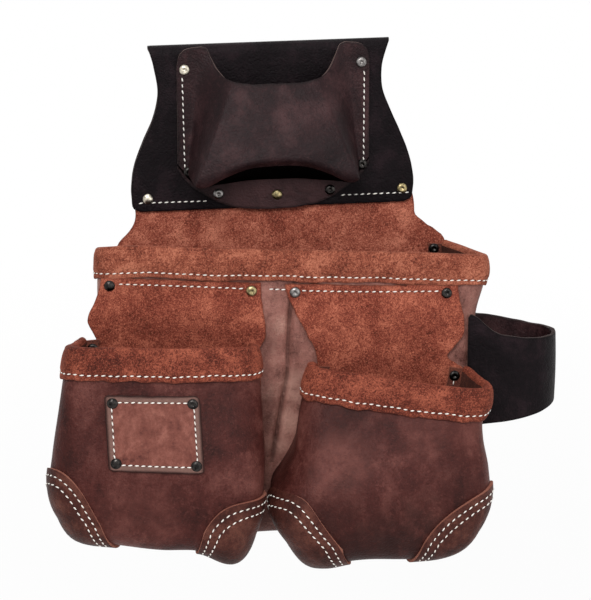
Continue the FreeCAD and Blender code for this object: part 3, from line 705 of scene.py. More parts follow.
class Bench:
    """One material's node tree, with a Principled shader at its end."""

    def __init__(self, name: str, world: bool = False) -> None:
        """Makes an empty material, or an empty world, of this name.

        Args:
            name: what it is called.
            world: whether it is the world's tree.
        """
        self.owner = (bpy.data.worlds if world else bpy.data.materials).new(name)
        self.owner.use_nodes = True
        self.tree = self.owner.node_tree
        self.tree.nodes.clear()
        self.place = self.node("TexCoord").outputs["Object"]

    def node(self, kind: str, settings: Optional[dict[str, Setting]] = None,
             feeds: Optional[dict[Union[str, int], Feed]] = None) -> bpy.types.Node:
        """Adds one node.

        Args:
            kind: the node's type, without its ShaderNode prefix.
            settings: its own properties; "stops" are a ramp's places and colours.
            feeds: the values or links of its input sockets.

        Returns:
            The new node.
        """
        made = self.tree.nodes.new("ShaderNode" + kind)
        for key, value in (settings or {}).items():
            if key == "stops":
                ramp = made.color_ramp.elements
                while len(ramp) < len(value):
                    ramp.new(0.5)
                for stop, (place, colour) in zip(ramp, value):
                    stop.position, stop.color = place, (*colour, 1)
            else:
                setattr(made, key, value)
        for key, value in (feeds or {}).items():
            if isinstance(value, Field):
                self.tree.links.new(value.socket, made.inputs[key])
            elif isinstance(value, bpy.types.NodeSocket):
                self.tree.links.new(value, made.inputs[key])
            elif isinstance(value, tuple) and len(value) == 3 and made.inputs[key].type == "RGBA":
                made.inputs[key].default_value = (*value, 1)
            else:
                made.inputs[key].default_value = value
        return made

    def seen(self) -> Field:
        """Whether a ray is the camera's, or a reflection's or glass's, and not light that falls on things.

        Returns:
            1 for those rays and 0 for the others.
        """
        rays = self.node("LightPath")
        seen = Field(self, rays.outputs["Is Camera Ray"]) + Field(self, rays.outputs["Is Glossy Ray"])
        return (seen + Field(self, rays.outputs["Is Transmission Ray"])).between(0.0, 1.0)

    def stretched(self, scale: tuple[float, float, float]) -> bpy.types.NodeSocket:
        """The place on the object, stretched by these factors."""
        return self.node("Mapping", {}, {"Vector": self.place, "Scale": scale}).outputs[0]

    def noise(self, size: float, detail: float = 4.0, rough: float = 0.55, warp: float = 0.0,
              place: Optional[bpy.types.NodeSocket] = None) -> Field:
        """Cloudy noise whose blots are about this many millimetres wide.

        Args:
            size: the width of a blot.
            detail: how many finer layers it has.
            rough: how strong those are.
            warp: how far it is stirred.
            place: where it is read, if not at the object's own place.

        Returns:
            Values about 0.5.
        """
        feeds = {"Vector": place or self.place, "Scale": 1 / (size * MM), "Detail": detail,
                 "Roughness": rough, "Distortion": warp}
        node = self.node("TexNoise", {}, feeds)
        return Field(self, node.outputs["Fac"])

    def cells(self, size: float) -> Field:
        """Soft distance inside cells that are about this many millimetres wide.

        Args:
            size: the width of a cell.

        Returns:
            The distance, in cell widths.
        """
        node = self.node("TexVoronoi", {"feature": "SMOOTH_F1"},
                         {"Vector": self.place, "Scale": 1 / (size * MM)})
        return Field(self, node.outputs["Distance"])

    def away_from(self, place: tuple[float, float, float]) -> Field:
        """How many metres a place on the object, given in millimetres, is away.

        Args:
            place: the place, in millimetres.

        Returns:
            The distance.
        """
        spot = tuple(part * MM for part in place)
        node = self.node("VectorMath", {"operation": "DISTANCE"}, {0: self.place, 1: spot})
        return Field(self, node.outputs["Value"])

    def edge(self) -> Field:
        """How many millimetres the piece's cut edge is away."""
        node = self.node("Attribute", {"attribute_name": "edge"})
        return Field(self, node.outputs["Fac"])

    def blend(self, share: Field, first: Feed, second: Feed) -> bpy.types.NodeSocket:
        """One colour laid over another."""
        return self.node("Mix", {"data_type": "RGBA"}, {0: share, 6: first, 7: second}).outputs[2]

    def ramp(self, share: Field, stops: Sequence[tuple[float, Colour]]) -> bpy.types.NodeSocket:
        """A colour for each value of a number."""
        return self.node("ValToRGB", {"stops": stops}, {"Fac": share}).outputs["Color"]

    def bump(self, height: Field, depth: float,
             below: Optional[bpy.types.NodeSocket] = None) -> bpy.types.NodeSocket:
        """A bumped normal, this many millimetres deep, over another bump.

        Args:
            height: what stands out.
            depth: how far, in millimetres.
            below: the bump under it.

        Returns:
            The normal.
        """
        feeds: dict[Union[str, int], Feed] = {"Height": height, "Distance": depth * MM, "Strength": 1.0}
        if below is not None:
            feeds["Normal"] = below
        return self.node("Bump", {}, feeds).outputs["Normal"]

    def finish(self, feeds: dict[Union[str, int], Feed]) -> bpy.types.Material:
        """Ends the tree with a Principled shader on these feeds, and returns the material.

        Args:
            feeds: the shader's inputs.

        Returns:
            The material.
        """
        shader = self.node("BsdfPrincipled", {}, feeds)
        end = self.node("OutputMaterial")
        self.tree.links.new(shader.outputs[0], end.inputs["Surface"])
        return self.owner


@dataclass(frozen=True)
class Leather:
    """Oiled, waxy leather: clouded colour, pale pull-up where it is pulled, pores and fine creases."""

    name: str
    deep: Colour
    plain: Colour
    pale: Colour
    cloud: float = 34.0
    pull: float = 0.5
    rough: float = 0.5
    shine: float = 0.2
    grain: float = 1.3
    crease: float = 0.12
    edge_dark: float = 0.55
    edge_wide: float = 2.4
    border: Optional[Colour] = None
    tone_and_shading_spots: tuple[ToneAndShadingSpot, ...] = ()

    def make(self) -> bpy.types.Material:
        """The material.

        Returns:
            The finished material.
        """
        b = Bench(self.name)
        cloud = b.noise(self.cloud, detail=6, rough=0.62, warp=0.5)
        blot = b.noise(self.cloud * 0.3, detail=7, rough=0.66, warp=0.3)
        streak = b.noise(self.cloud * 0.22, detail=6, rough=0.66, place=b.stretched((1.0, 1.0, 0.35)))
        scuff = b.noise(2.6, detail=7, rough=0.75)
        speck = b.noise(1.5, detail=4, rough=0.7)
        mixed = cloud * 0.42 + blot * 0.14 + streak * 0.2 + speck * 0.24
        colour = b.ramp(mixed, [(0.39, self.deep), (0.5, self.plain), (0.62, self.pale)])
        # The wax goes pale where the leather is pulled, scuffed or handled.
        pulled = cloud.between(0.5, 0.64) * scuff.between(0.44, 0.62) * self.pull
        colour = b.blend(pulled, colour, self.pale)
        colour = b.blend(speck.between(0.5, 0.66) * 0.5, colour, self.deep)
        colour = b.blend(scuff.between(0.5, 0.78) * 0.6, colour, self.pale)
        # Listed spots darken or pale the colour; most are painted shade and painted light.
        for tone_spot in self.tone_and_shading_spots:
            reach = tone_spot.reach * MM
            near = 1 - b.away_from(tone_spot.place).between(reach * 0.25, reach)
            mark = near * (blot.between(0.36, 0.58) * 0.6 + 0.4) * abs(tone_spot.share)
            colour = b.blend(mark, colour, self.deep if tone_spot.share > 0 else self.pale)
        # A sewn border and the cut edge have their own tones. Along the main bag's folds the edge darkening is
        # painted shade, and the label's wide near-black rim is partly its dyed edge and partly painted shadow
        # round it.
        if self.border:
            colour = b.blend((1 - b.edge().between(4.2, 6.0)) * 0.7, colour, self.border)
        rim = 1 - b.edge().between(0.3, self.edge_wide)
        colour = b.blend(rim * self.edge_dark, colour, tuple(part * 0.3 for part in self.deep))
        # Pores, fine creases and slow hollows.
        pores = b.cells(self.grain)
        folds = b.noise(2.6, detail=6, rough=0.68, warp=0.8)
        normal = b.bump(pores.between(0.0, 0.65), 0.2)
        normal = b.bump(folds, self.crease * 2.6, normal)
        normal = b.bump(blot, 0.8, normal)
        shine = self.rough + (scuff - 0.5) * 0.4 - (cloud - 0.5) * 0.2
        return b.finish({"Base Color": colour, "Roughness": shine, "Normal": normal,
                         "Specular IOR Level": self.shine})


@dataclass(frozen=True)
class Nap:
    """Suede: short fibres that lie every way, mottled and dusty, with no shine."""

    name: str
    deep: Colour
    plain: Colour
    pale: Colour
    fibre: float = 1.1
    cloud: float = 26.0
    depth: float = 0.6

    def make(self) -> bpy.types.Material:
        """The material.

        Returns:
            The finished material.
        """
        b = Bench(self.name)
        cloud = b.noise(self.cloud, detail=3, rough=0.5, warp=0.8)
        patch = b.noise(self.cloud * 0.3, detail=4, rough=0.55, warp=0.5)
        hair = b.noise(self.fibre * 2.2, detail=5, rough=0.75, warp=2.2)
        dust = b.noise(self.fibre, detail=3, rough=0.7)
        mixed = cloud * 0.3 + patch * 0.1 + hair * 0.6
        colour = b.ramp(mixed, [(0.4, self.deep), (0.5, self.plain), (0.6, self.pale)])
        colour = b.blend(dust.between(0.52, 0.64) * 0.6, colour, self.pale)
        colour = b.blend((1 - hair.between(0.33, 0.49)) * 0.45, colour, self.deep)
        rim = 1 - b.edge().between(0.2, 1.6)
        colour = b.blend(rim * 0.35, colour, self.deep)
        normal = b.bump(hair, self.depth)
        normal = b.bump(dust, self.depth * 0.45, normal)
        normal = b.bump(patch, 0.7, normal)
        return b.finish({"Base Color": colour, "Roughness": 0.84 + (hair - 0.5) * 0.2, "Normal": normal,
                         "Specular IOR Level": 0.22, "Sheen Weight": 0.35, "Sheen Roughness": 0.45,
                         "Sheen Tint": (*self.pale, 1)})


@dataclass(frozen=True)
class Thread:
    """Twisted, waxed thread with a little leather dust on it."""

    name: str
    plain: Colour
    soiled: Colour

    def make(self) -> bpy.types.Material:
        """The material.

        Returns:
            The finished material.
        """
        b = Bench(self.name)
        soil = b.noise(6.0, detail=4)
        ply = b.noise(0.5, detail=2, place=b.stretched((1.0, 1.0, 0.45)))
        colour = b.blend(soil.between(0.45, 0.72) * 0.4, self.plain, self.soiled)
        colour = b.blend(0.8 + ply.between(0.35, 0.55) * 0.2, self.soiled, colour)
        shine = 0.55 + (soil - 0.5) * 0.3
        return b.finish({"Base Color": colour, "Roughness": shine, "Normal": b.bump(ply, 0.25),
                         "Sheen Weight": 0.1})


@dataclass(frozen=True)
class Plate:
    """Rivet metal: plated, rubbed and slightly tarnished."""

    name: str
    bright: Colour
    tarnish: Colour
    rough: float

    def make(self) -> bpy.types.Material:
        """The material.

        Returns:
            The finished material.
        """
        b = Bench(self.name)
        stain = b.noise(2.4, detail=5, rough=0.65)
        scratch = b.noise(0.5, detail=4, rough=0.7)
        colour = b.blend(stain.between(0.4, 0.66), self.bright, self.tarnish)
        shine = self.rough + (stain - 0.5) * 0.3 + (scratch - 0.5) * 0.15
        return b.finish({"Base Color": colour, "Metallic": 1.0, "Roughness": shine,
                         "Normal": b.bump(scratch, 0.03)})


@dataclass(frozen=True)
class Plain:
    """The painted shade of a needle hole."""

    name: str
    colour: Colour

    def make(self) -> bpy.types.Material:
        """The material.

        Returns:
            The finished material.
        """
        b = Bench(self.name)
        shade = b.noise(1.0, detail=2)
        colour = b.blend(shade, self.colour, tuple(part * 0.5 for part in self.colour))
        return b.finish({"Base Color": colour, "Roughness": 0.9})


# Pale places on the tape holder's tab.
HOLDER_PALE_SPOTS = (
    ToneAndShadingSpot((-12, -12, -58), 46, -0.55), ToneAndShadingSpot((20, -12, -58), 40, -0.45),
)
# Painted light and painted shade on the pouches, paler on their fronts and darker at their feet: the right
# one's front and foot first, then the left one's.
POUCH_SHADING_SPOTS = (
    ToneAndShadingSpot((40, -133, -190), 48, 0.5), ToneAndShadingSpot((35, -130, -286), 55, 0.7),
    ToneAndShadingSpot((90, -130, -286), 55, 0.85), ToneAndShadingSpot((120, -130, -245), 34, 0.35),
    ToneAndShadingSpot((131, -118, -206), 24, -0.6), ToneAndShadingSpot((35, -134, -226), 32, -0.6),
    ToneAndShadingSpot((96, -134, -205), 26, -0.25), ToneAndShadingSpot((20, -118, -240), 18, 0.5),
    ToneAndShadingSpot((-160, -122, -205), 42, 0.2), ToneAndShadingSpot((-104, -134, -262), 40, -0.25),
    ToneAndShadingSpot((-40, -134, -160), 34, 0.25), ToneAndShadingSpot((14, -84, -210), 34, -0.8),
)
# Painted shadow on the main bag's foot between the pouches, painted shade and painted light on the two facets
# of its strip between the pouches, and a darker place on its right side.
BAG_SHADING_SPOTS = (
    ToneAndShadingSpot((0, -76, -290), 46, 1.0), ToneAndShadingSpot((-16, -76, -150), 24, 0.6), ToneAndShadingSpot((-16, -76, -200), 24, 0.6),
    ToneAndShadingSpot((11, -76, -185), 18, -0.9), ToneAndShadingSpot((4, -76, -210), 15, -0.9), ToneAndShadingSpot((-3, -76, -228), 12, -0.8),
    ToneAndShadingSpot((132, -50, -130), 40, 0.3),
)


class Finishes:
    """Every finish of the pouch, made once."""

    def __init__(self) -> None:
        """Makes the materials."""
        self.dark = Leather("espresso_leather", tint(8, 4, 6), tint(16, 10, 13), tint(40, 28, 32),
                            cloud=40, pull=0.35, rough=0.5, shine=0.07).make()
        # Near-black sheet for the floor under the tape holder's arch: painted shade in the undercut.
        self.shade = Leather("undercut_painted_shade", tint(3, 2, 2), tint(6, 4, 4), tint(10, 7, 7), pull=0.1,
                             rough=0.9, shine=0.0).make()
        self.burgundy = Leather("burgundy_moulded_leather", tint(18, 9, 11), tint(36, 20, 22),
                                tint(74, 49, 50), cloud=52, pull=0.42, rough=0.46, shine=0.12,
                                tone_and_shading_spots=HOLDER_PALE_SPOTS).make()
        self.brown = Leather("chocolate_leather", tint(36, 15, 13), tint(74, 34, 30), tint(118, 71, 64),
                             cloud=46, pull=0.5, rough=0.5, shine=0.12, tone_and_shading_spots=POUCH_SHADING_SPOTS).make()
        self.tan = Leather("pulled_up_leather", tint(74, 42, 37), tint(154, 104, 94), tint(188, 142, 128),
                           cloud=40, pull=0.4, rough=0.5, shine=0.14, tone_and_shading_spots=BAG_SHADING_SPOTS).make()
        self.patch = Leather("patch_leather", tint(38, 18, 15), tint(72, 36, 30), tint(112, 68, 56),
                             cloud=26, pull=0.4, rough=0.5, shine=0.12, edge_dark=0.0).make()
        # The label's strong, wide edge darkening is partly its dyed edge and partly painted shadow round it.
        self.label = Leather("label_leather", tint(84, 44, 38), tint(122, 70, 60), tint(156, 100, 87),
                             cloud=14, pull=0.3, rough=0.55, shine=0.14, edge_dark=1.0, edge_wide=2.6,
                             border=tint(122, 98, 90)).make()
        self.flesh = Nap("flesh_side", tint(52, 24, 19), tint(92, 48, 38), tint(128, 74, 58), fibre=0.9,
                         depth=0.3).make()
        self.suede = Nap("red_brown_suede", tint(82, 31, 20), tint(132, 60, 45), tint(198, 116, 90)).make()
        # The back panel's suede is a brighter copy of the panels' suede: painted light that lifts the neck out
        # of the shade under the top panel.
        self.neck = Nap("neck_suede_painted_light", tint(90, 35, 24), tint(150, 73, 56), tint(214, 134, 108)).make()
        self.binding = Nap("binding_suede", tint(80, 33, 22), tint(134, 66, 48), tint(192, 118, 92),
                           fibre=1.2, cloud=22).make()
        self.trim = Nap("pouch_binding_suede", tint(56, 20, 13), tint(105, 44, 31), tint(172, 94, 71),
                        fibre=1.2, cloud=22).make()
        # The binding's lap inside each bag is darkened suede: painted shade within the bag.
        self.inside = Nap("inside_suede_painted_shade", tint(34, 15, 12), tint(62, 32, 25), tint(92, 52, 40)).make()
        self.cut = Nap("cut_edge", tint(80, 36, 28), tint(130, 70, 54), tint(170, 104, 82),
                       fibre=0.6, depth=0.25).make()
        self.pale_rim = Nap("patch_cut_edge", tint(112, 62, 50), tint(156, 98, 82), tint(190, 132, 112),
                            fibre=0.6, depth=0.25).make()
        self.dark_cut = Nap("dark_cut_edge", tint(20, 13, 13), tint(42, 30, 29), tint(78, 60, 56),
                            fibre=0.5, depth=0.2).make()
        # Pale grey cut edge: partly the edge's own colour and partly a painted highlight along the tape
        # holder's notch.
        self.pale_cut_and_highlight = Nap("pale_cut_edge_and_highlight", tint(62, 46, 45), tint(104, 84, 80), tint(140, 118, 112),
                            fibre=0.5, depth=0.2).make()
        self.thread = Thread("waxed_thread", tint(252, 249, 242), tint(222, 204, 184)).make()
        # A near-black bead in each needle hole is painted shade.
        self.hole = Plain("needle_hole_painted_shade", tint(26, 14, 11)).make()
        self.metals = {
            Metal.NICKEL: Plate("nickel", tint(216, 208, 190), tint(140, 134, 122), 0.3).make(),
            Metal.STEEL: Plate("dull_nickel", tint(134, 130, 128), tint(84, 81, 80), 0.36).make(),
            Metal.BRASS: Plate("old_brass", tint(168, 152, 112), tint(88, 82, 58), 0.34).make(),
            Metal.BLACK: Plate("black_plate", tint(58, 55, 53), tint(24, 23, 23), 0.28).make(),
        }


# ----------------------------------------------------------------------------------------------- mesh making


def to_object(name: str, shape: bmesh.types.BMesh,
              materials: Sequence[bpy.types.Material]) -> bpy.types.Object:
    """An object at the origin from a finished shape in metres.

    Args:
        name: its name.
        shape: the shape, which is used up.
        materials: its finishes, in order.

    Returns:
        The object, in the scene.
    """
    mesh = bpy.data.meshes.new(name)
    shape.to_mesh(mesh)
    shape.free()
    for material in materials:
        mesh.materials.append(material)
    mesh.shade_smooth()
    piece = bpy.data.objects.new(name, mesh)
    bpy.context.scene.collection.objects.link(piece)
    return piece


def lay_grid(shape: bmesh.types.BMesh, skin: Skin, columns: int, rows: int,
             v_span: tuple[float, float] = (0.0, 1.0),
             spread: Optional[Callable[[Array], Array]] = None, fray: float = 0.0) -> None:
    """Adds a grid that follows a skin to a shape.

    Args:
        shape: the shape, in metres, with an "edge" layer.
        skin: the surface.
        columns: faces across.
        rows: faces down.
        v_span: the shares of v at the first and last row.
        spread: moves the columns closer together where the skin turns fast.
        fray: how far, in millimetres, the cut edges wander.
    """
    layer = shape.verts.layers.float.get("edge") or shape.verts.layers.float.new("edge")
    made = bmesh.ops.create_grid(shape, x_segments=columns, y_segments=rows, size=0.5)["verts"]
    flat = np.array([vert.co[:] for vert in made])
    column = np.rint((flat[:, 0] + 0.5) * columns).astype(int)
    row = np.rint((0.5 - flat[:, 1]) * rows).astype(int)
    u = np.arange(columns + 1) / columns
    u = spread(u) if spread else u
    v = v_span[0] + (v_span[1] - v_span[0]) * np.arange(rows + 1) / rows
    shares = np.meshgrid(u, v)
    grid = skin.at(*shares)
    across = np.linalg.norm(np.diff(grid, axis=1), axis=2)
    down = np.linalg.norm(np.diff(grid, axis=0), axis=2)
    left = np.pad(np.cumsum(across, axis=1), ((0, 0), (1, 0)))
    top = np.pad(np.cumsum(down, axis=0), ((1, 0), (0, 0)))
    # The edge layer also holds the distance to sharp folds, so the edge darkening paints shade along the
    # folds.
    edge = np.minimum.reduce([left, left[:, -1:] - left, top, top[-1:] - top, skin.to_fold(*shares)])
    if fray:
        length, reach, aside = 7.0, 2.5, 0.6
        wander = Ripple(seed=columns, height=fray, length=length).at(grid) * (1 - smooth(edge / reach))
        grid[..., 2] += wander
        grid[..., 0] += wander * aside
    for vert, i, j in zip(made, row, column):
        vert.co = grid[i, j] * MM
        vert[layer] = float(edge[i, j])


def paint_rows(piece: bpy.types.Object, columns: int, rows: int, chosen: range) -> None:
    """Gives whole rows of a grid the piece's last material.

    Args:
        piece: the piece made from the grid.
        columns: the grid's faces across.
        rows: the grid's faces down.
        chosen: the rows, counted from the top.
    """
    for face in piece.data.polygons:
        if rows - 1 - face.index // columns in chosen:
            face.material_index = len(piece.data.materials) - 1


def thicken(piece: bpy.types.Object, thick: float, soft: float = 0.45) -> None:
    """Gives a sheet its thickness inwards, with rounded cut edges.

    Args:
        piece: the sheet, whose second material is for the inner side and third for the cut edge.
        thick: the thickness in millimetres.
        soft: the width of the rounding.
    """
    wall = piece.modifiers.new("thickness", "SOLIDIFY")
    wall.thickness, wall.offset = thick * MM, -1
    wall.use_even_offset = False
    wall.material_offset, wall.material_offset_rim = 1, 2
    round_off = piece.modifiers.new("rounding", "BEVEL")
    round_off.width, round_off.segments, round_off.profile = soft * MM, 2, 0.5
    round_off.limit_method, round_off.angle_limit = "ANGLE", math.radians(50)
    round_off.material = -1


def settle(piece: bpy.types.Object, body: Body, slot: str, *nodes: str) -> bpy.types.Object:
    """Puts a piece on its body, hides the CAD nodes that it stands for, and reports it.

    Args:
        piece: the finished piece.
        body: what it rides on.
        slot: the name of its finish; not used.
        nodes: the CAD nodes that it stands for.

    Returns:
        The piece.
    """
    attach(piece, body.value)
    if nodes:
        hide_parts(*nodes)
    log.info("%-28s rides on %-12s %6d vertices", piece.name, body.value, len(piece.data.vertices))
    return piece


class Sewing:
    """Rows of stitches on one body, with dark beads of painted shade in the needle holes between them."""

    length = 3.3
    width = 0.52
    pitch = 4.9
    lift = 0.18
    grip = 0.3
    uneven_turn = 0.06
    uneven_length = 0.05
    hole = (0.55, 0.42, 0.14)

    def __init__(self, finishes: Finishes, seed: int) -> None:
        """Starts with no stitches; the seed makes each row uneven in its own way.

        Args:
            finishes: the materials.
            seed: the start of the row's draws.
        """
        self.finishes = finishes
        self.shape = bmesh.new()
        self.draw = np.random.default_rng(seed)

    def _bead(self, centre: Array, along: Array, out: Array, size: tuple[float, float, float],
              slot: int) -> None:
        """Adds one small rounded form, size long, wide and high.

        Args:
            centre: its middle, in millimetres.
            along: its long direction.
            out: the outward direction there.
            size: half its length, width and height.
            slot: 0 for thread and 1 for a hole.
        """
        side = np.cross(out, along)
        turn = Matrix(((along[0], side[0], out[0]), (along[1], side[1], out[1]), (along[2], side[2], out[2])))
        place = Matrix.Translation(Vector(centre * MM)) @ turn.to_4x4() @ Matrix.Diagonal((*size, 1.0))
        ball = bmesh.ops.create_uvsphere(self.shape, u_segments=6, v_segments=5, radius=MM, matrix=place)
        made = ball["verts"]
        for face in {face for vert in made for face in vert.link_faces}:
            face.material_index = slot

    def row(self, points: Array, normals: Array, slant: float = 0.14, pitch: Optional[float] = None) -> None:
        """Sews along a line.

        Args:
            points: the line, close together, in millimetres.
            normals: the surface's outward directions there.
            slant: how far each stitch turns from the line, in radians.
            pitch: the distance between stitches.
        """
        lengths = np.concatenate([[0], np.cumsum(np.linalg.norm(np.diff(points, axis=0), axis=1))])
        count = max(1, int(round(lengths[-1] / (pitch or self.pitch))))
        pitch = lengths[-1] / count

        def where(run: float) -> Array:
            """The place this far along the line."""
            return np.array([np.interp(run, lengths, points[:, k]) for k in range(3)])

        def facing(run: float) -> Array:
            """The outward direction this far along the line."""
            return unit(np.array([np.interp(run, lengths, normals[:, k]) for k in range(3)]))

        for k in range(count):
            middle = (k + 0.5) * pitch
            out = facing(middle)
            along = where(middle + pitch * self.grip) - where(middle - pitch * self.grip)
            along = unit(along - out * (along @ out))
            side = np.cross(out, along)
            turn = slant + self.draw.normal() * self.uneven_turn
            along = unit(along * math.cos(turn) + side * math.sin(turn))
            stretch = 1 + self.draw.normal() * self.uneven_length
            size = (self.length / 2 * stretch, self.width, self.width * 0.8)
            self._bead(where(middle) + out * self.lift, along, out, size, 0)
            start = k * pitch
            # Each needle hole between stitches gets a dark bead of painted shade.
            if k:
                out = facing(start)
                self._bead(where(start), unit(np.cross(side, out)), out, self.hole, 1)

    def on_skin(self, skin: Skin, u: Array, v: Array, lift: float = 0.0, **style: float) -> None:
        """Sews along a line of shares on a skin.

        Args:
            skin: the surface.
            u: shares across, from left to right.
            v: shares down.
            lift: how far above the surface the row lies.
            style: what row takes besides.
        """
        u, v = np.broadcast_arrays(np.asarray(u, float), np.asarray(v, float))
        normals = skin.normal(u, v)
        self.row(skin.at(u, v) + normals * lift, normals, **style)

    def on_front(self, tree: BVHTree, points: Sequence[tuple[float, float]], **style: float) -> None:
        """Sews along a line of (x, z) places on the front of a piece, where it faces forward.

        Args:
            tree: the piece's tree.
            points: the corners of the line.
            style: what row takes besides.
        """
        line = np.array(points, float)
        legs = np.concatenate([[0], np.cumsum(np.linalg.norm(np.diff(line, axis=0), axis=1))])
        runs = np.linspace(0, legs[-1], max(8, int(legs[-1] / 1.5)))
        x, z = np.interp(runs, legs, line[:, 0]), np.interp(runs, legs, line[:, 1])
        y = np.array([front_of(tree, float(p), float(q)) for p, q in zip(x, z)])
        self.row(points_of(x, y, z), forward(len(x)), **style)

    def done(self, name: str, body: Body, *nodes: str) -> bpy.types.Object:
        """Makes the rows one piece."""
        piece = to_object(name, self.shape, [self.finishes.thread, self.finishes.hole])
        return settle(piece, body, "thread", *nodes)


@dataclass(frozen=True)
class Rivet:
    """One rivet: where its cap sits, which way it faces, and how it looks."""

    place: tuple[float, float, float]
    out: tuple[float, float, float] = FORWARD
    metal: Metal = Metal.BRASS
    head: Head = Head.DOMED
    reach: float = 6.0

    def profile(self) -> list[tuple[float, float]]:
        """Half the rivet's section as radius and height, from the cap's crown to the burr's back.

        Returns:
            The corners of the half section, in millimetres.
        """
        crown = {
            Head.DOMED: [(0.0, 1.75), (1.2, 1.68), (2.3, 1.38), (3.2, 0.92), (3.7, 0.5)],
            Head.DIMPLED: [(0.0, 0.75), (0.75, 0.8), (1.15, 1.25), (1.6, 1.5), (2.6, 1.35), (3.4, 0.9),
                           (3.75, 0.5)],
        }[self.head]
        shank, burr = 1.4, 3.1
        return crown + [(3.9, 0.15), (3.8, -0.1), (shank, -0.15), (shank, -self.reach), (burr, -self.reach),
                        (burr, -self.reach - 0.5), (2.4, -self.reach - 0.9), (0.0, -self.reach - 1.0)]


def rivet_group(name: str, rivets: Iterable[Rivet], finishes: Finishes, body: Body,
                *nodes: str) -> bpy.types.Object:
    """Makes rivets of one group one piece that stands for the CAD rivets.

    Args:
        name: the piece's name.
        rivets: the rivets.
        finishes: the materials.
        body: what they ride on.
        nodes: the CAD nodes that they stand for.

    Returns:
        The piece.
    """
    metals = list(Metal)
    whole = bmesh.new()
    for rivet in rivets:
        shape = bmesh.new()
        verts = [shape.verts.new((radius * MM, 0, height * MM)) for radius, height in rivet.profile()]
        edges = [shape.edges.new(pair) for pair in zip(verts, verts[1:])]
        bmesh.ops.spin(shape, geom=verts + edges, cent=(0, 0, 0), axis=(0, 0, 1), angle=math.tau, steps=20,
                       use_merge=True, dvec=(0, 0, 0))
        bmesh.ops.remove_doubles(shape, verts=shape.verts, dist=1e-6)
        bmesh.ops.recalc_face_normals(shape, faces=shape.faces)
        turn = Vector((0, 0, 1)).rotation_difference(Vector(rivet.out)).to_matrix().to_4x4()
        place = Matrix.Translation(Vector(rivet.place) * MM)
        bmesh.ops.transform(shape, verts=shape.verts, matrix=place @ turn)
        for face in shape.faces:
            face.material_index = metals.index(rivet.metal)
        made = bpy.data.meshes.new("rivet")
        shape.to_mesh(made)
        shape.free()
        whole.from_mesh(made)
        bpy.data.meshes.remove(made)
    piece = to_object(name, whole, [finishes.metals[metal] for metal in metals])
    return settle(piece, body, "rivet_metal", *nodes)


# -------------------------------------------------------------------------------------------- sub-assemblies


@dataclass
class BeltSkin(Skin):
    """The top panel: one strap of leather folded over the belt, from its rear bottom to its front bottom."""

    left: Curve
    right: Curve
    bottom: float
    top: float
    half_thick: float
    tilt: float
    corner: float = 6.0
    ripple: Ripple = Ripple(seed=11, height=0.5, length=70.0)

    @property
    def leg(self) -> float:
        """The height of each flat layer."""
        return self.top - self.half_thick - self.bottom

    def surface(self, u: Array, v: Array) -> Array:
        """The points at these shares.

        Args:
            u: shares across, from left to right.
            v: shares down.

        Returns:
            The points, in millimetres.
        """
        arc = math.pi * self.half_thick
        run = v * (2 * self.leg + arc)
        angle = np.clip((run - self.leg) / arc, 0, 1) * math.pi
        z = self.bottom + np.minimum(run, self.leg) - np.clip(run - self.leg - arc, 0, None)
        z = z + np.sin(angle) * self.half_thick
        y = self.half_thick * np.cos(angle)
        low = np.clip(1 - (z - self.bottom) / self.corner, 0, 1)
        inset = self.corner * (1 - np.sqrt(1 - low ** 2))
        left, right = self.left.at(z) + inset, self.right.at(z) - inset
        points = points_of(left + (right - left) * u, y, z)
        points[..., 1] -= self.ripple.at(points) * smooth((self.top - z) / 40) * np.where(y < 0, 1, -1) * 0.5
        points[..., 2] += self.tilt * points[..., 0]
        return points


@dataclass
class TapeSkin(Skin):
    """The moulded tape holder: ears, mouth, a face between two ridges, an undercut floor and a tab below."""

    half: float
    base: float
    tilt: float
    top: Curve
    arch: Curve
    low: Curve
    stand: Curve
    face_end: float = 0.72
    floor_end: float = 0.88
    ripple: Ripple = Ripple(seed=21, height=0.5, length=34.0)
    seat_share = 0.42
    ridge_z = 31.0
    ridge_half = 29.0
    ridge_spread = 0.42
    foot_half = 56.0
    foot_spread = 0.1
    crown_rise = 0.07
    lip_drop = 0.13
    lip_start = 0.9
    hollow = 1.4

    def surface(self, u: Array, v: Array) -> Array:
        """The points at these shares.

        Args:
            u: shares across, from left to right.
            v: shares down.

        Returns:
            The points, in millimetres.
        """
        x = (2 * u - 1) * self.half
        away = np.abs(x)
        top, arch, low = self.top.at(away), self.arch.at(away), self.low.at(away)
        seat = arch + (low - arch) * self.seat_share
        face = np.clip(v / self.face_end, 0, 1)
        floor = np.clip((v - self.face_end) / (self.floor_end - self.face_end), 0, 1)
        tab = np.clip((v - self.floor_end) / (1 - self.floor_end), 0, 1)
        z_face = top + (arch - top) * face
        z = z_face + (seat - arch) * floor + (low - seat) * tab
        ridge = self.ridge_half + (self.ridge_z - z_face) * self.ridge_spread
        foot = self.foot_half + (self.ridge_z - z_face) * self.foot_spread
        slope = np.clip((foot - away) / (foot - ridge), 0, 1)
        shape = smooth(slope) * 0.7 + slope * 0.3
        crown = 1 + self.crown_rise * (1 - np.clip(away / ridge, 0, 1) ** 2)
        lip = 1 - self.lip_drop * np.clip((face - self.lip_start) / (1 - self.lip_start), 0, 1) ** 2
        bulge = self.stand.at(z_face) * shape * crown * lip
        waved = bulge + self.ripple.at(points_of(x, bulge, z)) * shape * smooth(face / 0.2)
        return points_of(x, self.base - waved * (1 - floor ** self.hollow), z + self.tilt * x)


